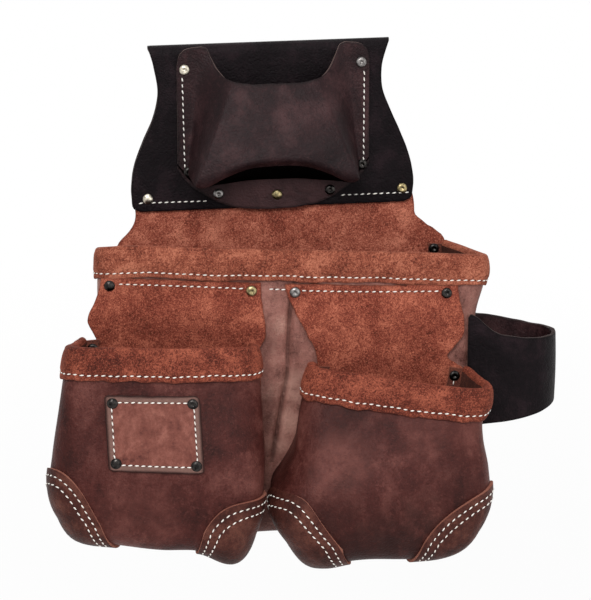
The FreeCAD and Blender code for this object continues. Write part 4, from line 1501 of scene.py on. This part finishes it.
@dataclass
class LoopSkin(Skin):
    """The tool loop: a wide strap bent round in plan, with sloping upper and lower edges."""

    plan: tuple[tuple[float, float], ...]
    top: Curve
    bottom: Curve
    root_x = 151.0
    end_share = 0.02
    corner = 4.0
    belly = 0.012

    def __post_init__(self) -> None:
        """Makes the plan's two curves against the length along it."""
        legs = np.hypot(*np.diff(np.array(self.plan), axis=0).T)
        runs = np.concatenate([[0], np.cumsum(legs)]) / legs.sum()
        self._x = Curve(tuple((float(run), x) for run, (x, _) in zip(runs, self.plan)))
        self._y = Curve(tuple((float(run), y) for run, (_, y) in zip(runs, self.plan)))

    def surface(self, u: Array, v: Array) -> Array:
        """The points at these shares.

        Args:
            u: shares across, from left to right.
            v: shares down.

        Returns:
            The points, in millimetres.
        """
        top, bottom = self.top.at(u), self.bottom.at(u)
        end = np.clip(1 - u / self.end_share, 0, 1)
        inset = self.corner * (1 - np.sqrt(np.clip(1 - end ** 2, 0, 1)))
        round_out = 1 + self.belly * np.sin(v * math.pi)
        x = self.root_x + (self._x.at(u) - self.root_x) * round_out
        return points_of(x, self._y.at(u), top - inset + (bottom - top + 2 * inset) * v)


@dataclass
class BeltPiece:
    """The folded top panel with its sewn-on tape holder."""

    finishes: Finishes
    left: Curve = Curve(((-61, -103.5), (-50, -104), (-33, -102), (-15, -95.5), (3, -87.5), (18, -84),
                         (40, -86.5), (56, -91)))
    right: Curve = Curve(((-61, 102.5), (-50, 103.5), (-30, 100), (-12, 93), (4, 86), (20, 80),
                          (35, 79.5), (56, 85)))
    tilt: float = 0.027
    holder_top: Curve = Curve(((0, 28.5), (24, 29.3), (31, 31), (38, 34.5), (42.5, 40), (46, 47.5),
                               (48, 52.5), (50.5, 54), (57, 54), (62.5, 53.2), (66.5, 50.8), (69, 46.5),
                               (70, 41)))
    holder_arch: Curve = Curve(((0, -28), (20, -29.5), (38, -36), (50, -42), (55, -43), (60, -40.5),
                                (66, -35), (70, -30)))
    holder_low: Curve = Curve(((0, -66), (20, -65), (36, -61.5), (47, -56), (56, -50), (62, -45.5),
                               (66, -41), (70, -34)))
    holder_stand: Curve = Curve(((-43, 40), (-20, 36), (10, 27), (31, 18.5), (45, 9), (54, 2)))

    def build_panel(self) -> bpy.types.Object:
        """The folded panel, with its hourglass outline.

        Returns:
            The piece.
        """
        block = Block.of("belt_panel")
        skin = BeltSkin(self.left, self.right, block.low.z - 4, block.high.z, block.high.y, self.tilt)
        shape = bmesh.new()
        lay_grid(shape, skin, 90, 110, fray=0.15)
        piece = to_object("belt_panel_leather", shape, [self.finishes.dark, self.finishes.dark,
                                                        self.finishes.dark_cut])
        thicken(piece, STRAP, soft=0.6)
        return settle(piece, Body.BELT, "dark_leather", "belt_panel")

    def build_holder(self) -> bpy.types.Object:
        """The tape holder, moulded out between two ridges, with its tab.

        Returns:
            The piece.
        """
        block = Block.of("tape_holder")
        base = Block.of("belt_panel").low.y - LEATHER
        skin = TapeSkin(block.high.x, base, self.tilt, self.holder_top, self.holder_arch, self.holder_low,
                        self.holder_stand)
        shape = bmesh.new()
        columns, rows = 150, 100
        lay_grid(shape, skin, columns, rows, fray=0.12)
        f = self.finishes
        # The holder's pale grey cut edges are partly their own colour and partly a painted highlight.
        piece = to_object("tape_holder_leather", shape, [f.burgundy, f.dark, f.pale_cut_and_highlight, f.shade])
        # The floor rows under the arch take the near-black undercut material, which is painted shade.
        paint_rows(piece, columns, rows, range(round(skin.face_end * rows) + 1, round(skin.floor_end * rows)))
        thicken(piece, LEATHER - 0.05, soft=0.5)
        return settle(piece, Body.BELT, "burgundy_leather", "tape_holder")

    def sew(self, panel: bpy.types.Object) -> None:
        """The stitch rows of the panel's hem and of the holder's two flanges.

        Args:
            panel: the folded panel, which the hem lies on.
        """
        base = Block.of("belt_panel").low.y - LEATHER
        hem = Sewing(self.finishes, seed=1)
        tree = tree_of(panel)
        hem.on_front(tree, [(-99.5, -61), (-48, -60)])
        hem.on_front(tree, [(49, -57), (101, -55.6)])
        hem.done("belt_panel_stitches", Body.BELT, "belt_panel_thread")
        sides = Sewing(self.finishes, seed=2)
        for x_top, x_low in ((-66.2, -64.8), (66.2, 66.0)):
            top, low = 33.5, -38.5
            z = np.linspace(top, low, 40)
            x = x_top + (x_low - x_top) * (top - z) / (top - low)
            sides.row(points_of(x, base, z + self.tilt * x), forward(len(z)), pitch=4.5)
        sides.done("tape_holder_stitches", Body.BELT, "tape_holder_thread")

    def rivet(self) -> None:
        """The rivets of the hem's corners, the flanges' corners and the tab."""
        front = Block.of("belt_panel").low.y
        base = front - LEATHER
        corners = [Rivet((-92, front, -58), metal=Metal.NICKEL, reach=2.2),
                   Rivet((95, front, -52.5), metal=Metal.BRASS, head=Head.DIMPLED, reach=2.2)]
        rivet_group("hem_rivets", corners, self.finishes, Body.BELT, "belt_panel_rivets")
        flange = [Rivet((-64.5, base, 36.5), metal=Metal.NICKEL, head=Head.DIMPLED, reach=5),
                  Rivet((64, base, 41), metal=Metal.STEEL, head=Head.DIMPLED, reach=5),
                  Rivet((-62, base, -38), metal=Metal.BLACK, head=Head.DIMPLED, reach=5),
                  Rivet((65, base, -34), metal=Metal.BLACK, head=Head.DIMPLED, reach=5)]
        rivet_group("flange_rivets", flange, self.finishes, Body.BELT, "tape_holder_rivets")
        tab = [Rivet((-40.5, base, -54.5), metal=Metal.STEEL, head=Head.DIMPLED, reach=5),
               Rivet((2.5, base, -55.5), metal=Metal.BRASS, reach=5),
               Rivet((41.5, base, -52.5), metal=Metal.BLACK, head=Head.DIMPLED, reach=5)]
        rivet_group("tab_rivets", tab, self.finishes, Body.BELT, "tape_holder_tab_rivets")

    def build(self) -> None:
        """Makes the whole piece."""
        panel = self.build_panel()
        self.build_holder()
        self.sew(panel)
        self.rivet()


@dataclass
class BackPanel:
    """The suede back: a neck sewn into the top panel and the wide back of the main bag, in one flat piece."""

    finishes: Finishes
    left: Curve = Curve(((-300, -92), (-292, -106), (-270, -113), (-180, -115), (-110, -116), (-97, -116),
                         (-90, -113), (-84, -107), (-77, -102.5), (-62, -101.5), (-48, -101)))
    right: Curve = Curve(((-300, 106), (-292, 120), (-270, 127), (-180, 129), (-110, 129), (-96, 129),
                          (-88, 125), (-81, 116), (-75, 107.5), (-65, 104.5), (-48, 102)))
    bend: tuple[float, float] = (-69.0, -78.0)

    def build(self) -> None:
        """Makes the panel and hides the CAD nodes that it stands for."""
        neck, back = Block.of("back_panel_neck"), Block.of("back_panel")
        skin = PanelSkin(self.left, self.right, level(neck.high.z), level(back.low.z), level(back.low.y))
        shape = bmesh.new()
        lay_grid(shape, skin, 90, 96, fray=0.3)
        f = self.finishes
        # The brighter neck suede is painted light against the shade under the top panel.
        piece = to_object("back_panel_suede", shape, [f.neck, f.neck, f.cut])
        thicken(piece, SUEDE, soft=0.5)
        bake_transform(piece)
        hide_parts("back_panel", "back_panel_neck")
        log.info("%s bends between the belt piece and the bag", piece.name)


@dataclass
class Bag:
    """One bag: its wall, the suede binding of its rim, its seam flanges and their stitches."""

    name: str
    body: Body
    finishes: Finishes
    skin: BagSkin
    binding_outer: float = 19.5
    wall_finish: Optional[bpy.types.Material] = None
    columns: int = 150
    rows: int = 84

    def __post_init__(self) -> None:
        """Makes the binding's skin."""
        self.binding = BindingSkin(self.skin, outer=self.binding_outer)

    def build_wall(self, *nodes: str) -> bpy.types.Object:
        """The leather wall and floor, with the edges turned in on the panel.

        Args:
            nodes: the CAD nodes that it stands for.

        Returns:
            The piece.
        """
        shape = bmesh.new()
        lay_grid(shape, self.skin, self.columns, self.rows, v_span=(0.0, self.skin.v_end))
        f = self.finishes
        piece = to_object(self.name + "_leather", shape, [self.wall_finish or f.brown, f.flesh, f.cut])
        thicken(piece, LEATHER)
        return settle(piece, self.body, "brown_leather", *nodes)

    def build_binding(self, *nodes: str) -> bpy.types.Object:
        """The suede strip over the rim.

        Args:
            nodes: the CAD nodes that it stands for.

        Returns:
            The piece.
        """
        shape = bmesh.new()
        columns, rows = 170, 34
        lay_grid(shape, self.binding, columns, rows, fray=0.35)
        f = self.finishes
        suede = f.binding if self.body is Body.BAG else f.trim
        piece = to_object(self.name + "_binding_suede", shape, [suede, suede, f.cut, f.inside])
        # The inner lap's rows take the dark inside suede: painted shade within the bag.
        paint_rows(piece, columns, rows, range(round(self.binding.inner_share * rows)))
        thicken(piece, BINDING, soft=0.55)
        return settle(piece, self.body, "binding_suede", *nodes)

    def sew(self, sewing: Sewing) -> None:
        """The stitch rows of the binding and of the two seam flanges.

        Args:
            sewing: the bag's stitches.
        """
        u = np.linspace(0.01, 0.99, 260)
        below = self.binding.outer - self.binding.row
        sewing.on_skin(self.binding, u, np.full_like(u, self.binding.share(below)), lift=0.25)
        for on_right in (False, True):
            v = np.linspace(0.03, 0.8, 60)
            points = self.skin.at(np.full_like(v, self.skin.seam(on_right)), v)
            points[:, 1] -= LEATHER
            sewing.row(points, forward(len(v)))

    def seam_rivet(self, on_right: bool, v: float, metal: Metal) -> Rivet:
        """A rivet through a seam flange, inside the bag.

        Args:
            on_right: which flange.
            v: how far down the wall.
            metal: its plating.

        Returns:
            The rivet.
        """
        place = self.skin.at(self.skin.seam(on_right), v)
        return Rivet((float(place[0]), float(place[1]) - LEATHER, float(place[2])), metal=metal,
                     head=Head.DIMPLED, reach=5.6)


@dataclass
class CornerPatch:
    """A sewn-on patch round a pouch's lower corner, with two rows of stitches."""

    name: str
    body: Body
    finishes: Finishes
    skin: PatchSkin
    insets: tuple[float, float] = (4.6, 10.4)

    def build(self, sewing: Sewing, *nodes: str) -> None:
        """Makes the patch and sews it.

        Args:
            sewing: the bag's stitches.
            nodes: the CAD nodes that it stands for.
        """
        shape = bmesh.new()
        lay_grid(shape, self.skin, 60, 36, spread=lambda u: (1 - np.cos(u * math.pi)) / 2)
        f = self.finishes
        piece = to_object(self.name, shape, [f.patch, f.flesh, f.pale_rim])
        thicken(piece, self.skin.stand, soft=0.5)
        settle(piece, self.body, "patch_leather", *nodes)
        for inset in self.insets:
            turn = np.linspace(0.04, 0.96, 90) * math.pi
            reach = np.where(turn > math.pi / 2, self.skin.side, self.skin.front) - inset
            along = np.cos(turn) * reach
            u, v = self.skin.on_bag(along, self.skin.upper(along, inset))
            if self.skin.on_right:
                u, v = u[::-1], v[::-1]
            normals = self.skin.bag.normal(u, v)
            sewing.row(self.skin.lifted(u, v), normals)


@dataclass
class Label:
    """The bare leather label on the left pouch, sewn and riveted at its corners."""

    finishes: Finishes
    centre: tuple[float, float] = (-92.7, -200.6)
    size: tuple[float, float] = (66.2, 52.0)
    tilt: float = -0.055
    shear: float = -0.1
    inset: float = 4.6
    rivet_inset: float = 5.4
    gaps: tuple[float, float] = (0.125, 0.15)
    pitch: float = 4.4
    thick: float = 2.2

    def build(self, wall: bpy.types.Object) -> None:
        """Makes the label, its stitches and its rivets.

        Args:
            wall: the left pouch's leather, which it lies on.
        """
        skin = LaidSkin(tree_of(wall), self.centre, self.size, self.tilt, self.shear, self.thick)
        shape = bmesh.new()
        lay_grid(shape, skin, 44, 36, fray=0.2)
        f = self.finishes
        # The near-black rim and cut edge are partly the label's dyed edge and partly painted shadow round it.
        piece = to_object("label_leather", shape, [f.label, f.flesh, f.dark_cut])
        thicken(piece, self.thick, soft=0.6)
        settle(piece, Body.LEFT, "patch_leather", "label_patch")
        sewing = Sewing(f, seed=5)
        a, b = self.inset / self.size[0], self.inset / self.size[1]
        run = np.linspace(0, 1, 30)
        across, down = (gap + (1 - 2 * gap) * run for gap in self.gaps)
        for u, v in ((across, b), (across, 1 - b), (a, down), (1 - a, down)):
            sewing.row(skin.at(u, v), forward(len(run)), pitch=self.pitch)
        sewing.done("label_stitches", Body.LEFT, "label_patch_thread")
        a, b = self.rivet_inset / self.size[0], self.rivet_inset / self.size[1]
        spots = skin.at(np.array([a, 1 - a, a, 1 - a]), np.array([b, b, 1 - b, 1 - b]))
        heads = (Head.DOMED, Head.DIMPLED, Head.DOMED, Head.DOMED)
        rivets = [Rivet(tuple(map(float, spot)), metal=Metal.BLACK, head=head, reach=5.2)
                  for spot, head in zip(spots, heads)]
        rivet_group("label_rivets", rivets, f, Body.LEFT, "label_patch_rivets")


@dataclass
class MainBag:
    """The deep main bag behind the two pouches, and the row of stitches that hangs the pouches from it."""

    finishes: Finishes
    row: Curve = Curve(((-128, -106.5), (-60, -110), (0, -113.5), (60, -115.8), (125, -116.5)))
    bare_run: tuple[float, float] = (-9.0, 4.0)
    hanger_runs: tuple[tuple[float, float], ...] = ((-116.0, -26.0), (14.0, 114.0))

    def skin(self) -> BagSkin:
        """The wall's surface, from the CAD bag's box.

        Returns:
            The skin.
        """
        block = Block.of("main_bag_body")
        left, right, low = block.low.x, block.high.x, block.low.z
        return BagSkin(
            left=Curve(((0, left), (0.3, left - 1), (0.7, left - 1), (0.9, left + 3), (1, left + 12))),
            right=Curve(((0, right), (0.08, right - 1), (0.18, right - 6), (0.3, right - 9),
                         (0.7, right - 10), (0.9, right - 13), (1, right - 18))),
            depth=level(68.0),
            rim=Curve(((0, -97), (0.08, -94), (0.14, -88), (0.19, -84.5), (0.35, -86), (0.5, -88.3),
                       (0.66, -91), (0.78, -93.5), (0.86, -96), (0.93, -95.5), (1, -94))),
            foot=Curve(((0, low + 4), (0.2, low + 1), (0.5, low + 3), (0.8, low + 1), (1, low + 4))),
            back=block.high.y, tuck=(level(17.0), level(23.0)), radius=14.0, bow=0.5, turn=0.9, under=0.22,
            ripple=Ripple(seed=31, height=0.5, length=60.0),
            # The two narrowest dents are folds, along which the leather's edge darkening is painted shade in
            # the crease.
            dents=(Dent(0.501, 0.22, 0.005, 0.2, 4.0), Dent(0.487, 0.58, 0.005, 0.16, 4.0, -0.088),
                   Dent(0.509, 0.35, 0.008, 0.4, -1.2, -0.05)),
        )

    def build(self) -> None:
        """Makes the bag, its binding, its stitches and rivets."""
        f = self.finishes
        bag = Bag("main_bag", Body.BAG, f, self.skin(), wall_finish=f.tan, columns=330)
        wall = bag.build_wall("main_bag_body")
        bag.build_binding("main_bag_binding")
        sewing = Sewing(f, seed=6)
        bag.sew(sewing)
        tree = tree_of(wall)
        strip = [(x, float(self.row.at(x))) for x in self.bare_run]
        sewing.on_front(tree, strip)
        front = Block.of("left_pouch_hanger").low.y
        for start, end in self.hanger_runs:
            x = np.linspace(start, end, 60)
            sewing.row(points_of(x, front - 0.1, self.row.at(x)), forward(len(x)))
        sewing.done("main_bag_stitches", Body.BAG, "pouch_hanging_thread")
        seam = [bag.seam_rivet(False, 0.04, Metal.BLACK), bag.seam_rivet(True, 0.018, Metal.BLACK)]
        rivet_group("main_bag_seam_rivets", seam, f, Body.BAG, "main_bag_rivets")
        metals = ((-121.5, Metal.BLACK, Head.DOMED), (-21, Metal.BRASS, Head.DIMPLED),
                  (10, Metal.STEEL, Head.DIMPLED), (119, Metal.BLACK, Head.DIMPLED))
        hang = [Rivet((x, front, float(self.row.at(x)) - 1.5), metal=metal, head=head, reach=5.0)
                for x, metal, head in metals]
        rivet_group("pouch_hanging_rivet_caps", hang, f, Body.BAG, "pouch_hanging_rivets")


@dataclass
class Pouch:
    """An outer pouch: a lobed suede panel sewn under the main rim, and a sagging leather bag on it."""

    name: str
    body: Body
    finishes: Finishes
    left: Curve
    right: Curve
    rim: Curve
    foot: Curve
    panel_left: Curve
    panel_right: Curve
    panel_top: Curve
    tuck: tuple[Curve, Curve]
    lean: float
    seed: int
    patch_sizes: tuple[tuple[float, float, float], tuple[float, float, float]]
    dents: tuple[Dent, ...] = ()
    rivet_depths: tuple[float, float] = (0.045, 0.05)
    bend: tuple[float, float] = (3.0, -5.0)

    def build_panel(self) -> None:
        """The suede panel, bent at the hinge line between its sewn top and the pouch."""
        f = self.finishes
        hanger, panel = Block.of(self.name + "_hanger"), Block.of(self.name + "_panel")
        bent = Curve(((-150, panel.low.y), (-127, panel.low.y), (-120, hanger.low.y), (-100, hanger.low.y)))
        skin = PanelSkin(self.panel_left, self.panel_right, self.panel_top, level(panel.low.z), bent)
        shape = bmesh.new()
        lay_grid(shape, skin, 76, 120, fray=0.35)
        piece = to_object(self.name + "_panel_suede", shape, [f.suede, f.flesh, f.cut])
        thicken(piece, SUEDE, soft=0.5)
        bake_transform(piece)
        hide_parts(self.name + "_hanger", self.name + "_panel")
        log.info("%s bends between the bag and %s", piece.name, self.body.value)

    def build(self) -> bpy.types.Object:
        """Makes the pouch and returns its leather wall.

        Returns:
            The wall.
        """
        f = self.finishes
        self.build_panel()
        panel = Block.of(self.name + "_panel")
        depth = Curve(((0, 57), (0.4, 60), (0.75, 61), (1, 55)))
        waves = Ripple(seed=self.seed, height=1.1, length=70.0)
        skin = BagSkin(self.left, self.right, depth, self.rim, self.foot, panel.low.y, self.tuck,
                       lean=self.lean, radius=24.0, bow=4.0, turn=0.86, under=0.3, ripple=waves,
                       dents=self.dents)
        bag = Bag(self.name, self.body, f, skin)
        wall = bag.build_wall(self.name + "_body")
        bag.build_binding(self.name + "_binding")
        sewing = Sewing(f, seed=self.seed)
        bag.sew(sewing)
        for side, on_right, (front, back, height) in zip(("left", "right"), (False, True), self.patch_sizes):
            patch = PatchSkin(skin, on_right, front=front, side=back, height=height)
            CornerPatch(f"{self.name}_{side}_patch_leather", self.body, f, patch).build(
                sewing, f"{self.name}_{side}_patch")
        sewing.done(self.name + "_stitches", self.body)
        rivets = [bag.seam_rivet(False, self.rivet_depths[0], Metal.BLACK),
                  bag.seam_rivet(True, self.rivet_depths[1], Metal.BLACK)]
        rivet_group(self.name + "_seam_rivets", rivets, f, self.body, self.name + "_rivets")
        return wall


@dataclass
class ToolLoop:
    """The wide strap loop on the main bag's right side."""

    finishes: Finishes
    plan: tuple[tuple[float, float], ...] = (
        (135, -74.1), (149, -74.2), (164, -74), (179, -71.5), (192, -65.5), (201, -55), (204.5, -42),
        (201, -29),
        (190, -20), (172, -15), (156, -15), (147, -19), (143.6, -28), (143.2, -50))
    top: Curve = Curve(((0, -132.5), (0.04, -137), (0.09, -145.5), (0.2, -151.5), (0.32, -153.5),
                        (0.45, -153), (0.6, -152), (0.75, -147), (0.85, -144), (1, -143)))
    bottom: Curve = Curve(((0, -216), (0.12, -214.5), (0.25, -211), (0.35, -207), (0.45, -204.5),
                           (0.6, -207), (0.8, -215), (1, -218)))

    def build(self) -> None:
        """Makes the strap and its rivets."""
        f = self.finishes
        shape = bmesh.new()
        lay_grid(shape, LoopSkin(self.plan, self.top, self.bottom), 110, 34, fray=0.12)
        piece = to_object("tool_loop_leather", shape, [f.dark, f.burgundy, f.dark_cut])
        thicken(piece, STRAP, soft=0.6)
        settle(piece, Body.BAG, "dark_leather", "tool_loop")
        rivets = [Rivet((146.3, -38, z), out=(1.0, 0.0, 0.0), metal=Metal.BRASS, head=Head.DIMPLED, reach=5.4)
                  for z in (-156.0, -208.0)]
        rivet_group("loop_rivets", rivets, f, Body.BAG, "tool_loop_rivets")


@dataclass(frozen=True)
class Lamp:
    """A soft, white, square lamp: its place and size in metres, and its power in watts."""

    name: str
    place: tuple[float, float, float]
    size: float
    watts: float


@dataclass
class Studio:
    """A pale floor, soft lamps and the camera."""

    target: Vector = field(default_factory=lambda: Vector((0.012, -0.0545, -0.125)))
    azimuth: float = math.radians(-5)
    elevation: float = math.radians(12)
    distance: float = 1.7
    lens: float = 143.8
    floor_z: float = -0.52
    near_white: float = 0.95
    fade: tuple[float, float] = (0.8, 2.2)
    lamps: tuple[Lamp, ...] = (
        Lamp("key", (-0.35, -1.65, 0.95), 0.8, 25), Lamp("fill", (1.1, -1.4, 0.1), 1.4, 7),
        Lamp("top", (0.1, 0.1, 1.3), 1.0, 5), Lamp("back", (-0.7, 1.5, 0.5), 1.4, 9))

    def aim(self, thing: bpy.types.Object, place: Vector, target: Vector) -> None:
        """Puts a lamp or the camera at a place, turned to the target.

        Args:
            thing: the lamp or the camera.
            place: where it goes, in metres.
            target: what it faces.
        """
        thing.location = place
        thing.rotation_euler = (target - place).to_track_quat("-Z", "Y").to_euler()
        bpy.context.scene.collection.objects.link(thing)

    def camera(self) -> None:
        """The camera."""
        lens = bpy.data.cameras.new("camera")
        lens.lens, lens.sensor_width, lens.sensor_fit = self.lens, 36.0, "HORIZONTAL"
        eye = bpy.data.objects.new("camera", lens)
        away = Vector((math.sin(self.azimuth) * math.cos(self.elevation),
                       -math.cos(self.azimuth) * math.cos(self.elevation), math.sin(self.elevation)))
        self.aim(eye, self.target + away * self.distance, self.target)
        bpy.context.scene.camera = eye

    def hang(self, lamp: Lamp) -> None:
        """Puts up one lamp, facing the pouch.

        Args:
            lamp: the lamp.
        """
        light = bpy.data.lights.new(lamp.name, "AREA")
        light.energy, light.size = lamp.watts, lamp.size
        self.aim(bpy.data.objects.new(lamp.name, light), Vector(lamp.place), self.target)

    def seen_white(self, name: str) -> bpy.types.Material:
        """A pale floor whose distance turns to white for the camera and in reflections, and keeps its shadow.

        Args:
            name: the material's name.

        Returns:
            The finished material.
        """
        b = Bench(name)
        matt = b.node("BsdfDiffuse", {}, {"Color": (0.86, 0.86, 0.86)})
        glow = b.node("Emission", {}, {"Color": (1.0, 1.0, 1.0), "Strength": 1.0})
        far = b.away_from((0.0, 0.0, 0.0)).between(*self.fade)
        mix = b.node("MixShader", {}, {0: b.seen() * (self.near_white + far * (1 - self.near_white)),
                                       1: matt.outputs[0], 2: glow.outputs[0]})
        b.tree.links.new(mix.outputs[0], b.node("OutputMaterial").inputs["Surface"])
        return b.owner

    def build(self) -> None:
        """The floor, the backdrop, the lamps and the world."""
        shape = bmesh.new()
        bmesh.ops.create_grid(shape, x_segments=1, y_segments=1, size=6.0)
        bmesh.ops.translate(shape, verts=shape.verts, vec=(0, 0, self.floor_z))
        floor = to_object("studio_floor", shape, [self.seen_white("pale_floor")])
        for lamp in self.lamps:
            self.hang(lamp)
        b = Bench("studio", world=True)
        soft = b.node("Background", {}, {"Color": (1.0, 1.0, 1.0), "Strength": 0.25})
        white = b.node("Background", {}, {"Color": (1.0, 1.0, 1.0), "Strength": 1.0})
        mix = b.node("MixShader", {}, {0: b.seen(), 1: soft.outputs[0], 2: white.outputs[0]})
        b.tree.links.new(mix.outputs[0], b.node("OutputWorld").inputs["Surface"])
        bpy.context.scene.world = b.owner
        bpy.context.scene.view_settings.view_transform = "Standard"


def left_pouch(finishes: Finishes) -> Pouch:
    """The left pouch, which carries the label.

    Args:
        finishes: the materials.

    Returns:
        The pouch, not built yet.
    """
    return Pouch(
        "left_pouch", Body.LEFT, finishes,
        left=Curve(((0, -154), (0.28, -160.5), (0.54, -166), (0.7, -168), (0.84, -163), (0.93, -154),
                    (1, -143))),
        right=Curve(((0, -18), (0.34, -15), (0.57, -14), (0.72, -16.5), (0.82, -20), (0.9, -25), (1, -33))),
        rim=Curve(((0, -146), (0.06, -147), (0.12, -147), (0.22, -143.5), (0.35, -143.8), (0.5, -146.5),
                   (0.72, -148.5), (0.85, -151), (1, -156))),
        foot=Curve(((0, -281), (0.2, -282.5), (0.35, -285), (0.5, -289), (0.63, -291), (0.76, -301),
                    (0.81, -297.5), (0.88, -286), (1, -279))),
        panel_left=Curve(((-292, -132), (-275, -148), (-235, -155), (-170, -146), (-155, -134),
                          (-149, -131.5), (-143, -134.5), (-137, -137), (-131, -136.5), (-122, -132),
                          (-110, -128), (-100, -127))),
        panel_right=Curve(((-292, -34), (-275, -22), (-235, -15), (-170, -15), (-155, -16), (-146, -11.5),
                           (-130, -12), (-113, -14), (-100, -14))),
        panel_top=Curve(((-128, -102.8), (-60, -106), (0, -109))),
        tuck=(level(12.0), level(2.0)), lean=-0.3, seed=41,
        patch_sizes=((30.0, 44.0, 57.0), (37.0, 44.0, 50.0)),
        dents=(Dent(0.30, 0.35, 0.05, 0.3, 1.5), Dent(0.52, 0.86, 0.10, 0.06, 1.6)),
    )


def right_pouch(finishes: Finishes) -> Pouch:
    """The right pouch, whose rim dips to the right.

    Args:
        finishes: the materials.

    Returns:
        The pouch, not built yet.
    """
    return Pouch(
        "right_pouch", Body.RIGHT, finishes,
        left=Curve(((0, 17.5), (0.1, 15), (0.2, 12), (0.32, 8.5), (0.43, 5), (0.52, -0.5), (0.58, -5),
                    (0.64, -10), (0.7, -12), (0.78, -9), (0.84, -3.5), (0.92, 7), (1, 18))),
        right=Curve(((0, 147), (0.1, 145.5), (0.2, 141.5), (0.3, 141.5), (0.5, 146.5), (0.65, 149),
                     (0.76, 147), (0.88, 139), (1, 122))),
        rim=Curve(((0, -169), (0.08, -168), (0.16, -166), (0.26, -167.5), (0.38, -170.5), (0.5, -174),
                   (0.62, -177), (0.72, -178.5), (0.81, -178), (0.89, -176.5), (0.95, -173.5), (1, -171))),
        foot=Curve(((0, -288), (0.14, -296), (0.23, -305.5), (0.3, -305), (0.38, -302), (0.6, -302),
                    (0.72, -299), (0.8, -293), (0.9, -288), (1, -285))),
        panel_left=Curve(((-300, 18), (-280, 12), (-240, 12), (-210, 19), (-190, 24), (-168, 26),
                          (-158, 24), (-150, 20), (-145, 17.5), (-140, 14.5), (-128, 8.5), (-118, 4),
                          (-105, 3))),
        panel_right=Curve(((-300, 116), (-280, 131), (-235, 134), (-180, 134), (-171, 129), (-165, 120),
                           (-158, 124), (-148, 131.5), (-138, 132), (-120, 128), (-105, 127))),
        panel_top=Curve(((0, -109), (60, -111.3), (128, -112))),
        tuck=(level(4.0), level(13.0)), lean=0.5, seed=43,
        patch_sizes=((34.0, 44.0, 58.0), (44.0, 44.0, 50.0)),
        dents=(Dent(0.70, 0.35, 0.03, 0.5, 1.8), Dent(0.36, 0.4, 0.06, 0.3, 1.6),
               Dent(0.5, 0.88, 0.12, 0.05, 1.5)),
    )


def main() -> None:
    """Builds the pouch in its studio."""
    logging.basicConfig(level=logging.INFO, format="%(message)s")
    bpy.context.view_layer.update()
    studio = Studio()
    studio.camera()
    studio.build()
    finishes = Finishes()
    BeltPiece(finishes).build()
    BackPanel(finishes).build()
    MainBag(finishes).build()
    wall = left_pouch(finishes).build()
    Label(finishes).build(wall)
    right_pouch(finishes).build()
    ToolLoop(finishes).build()


if __name__ == "__main__":
    main()
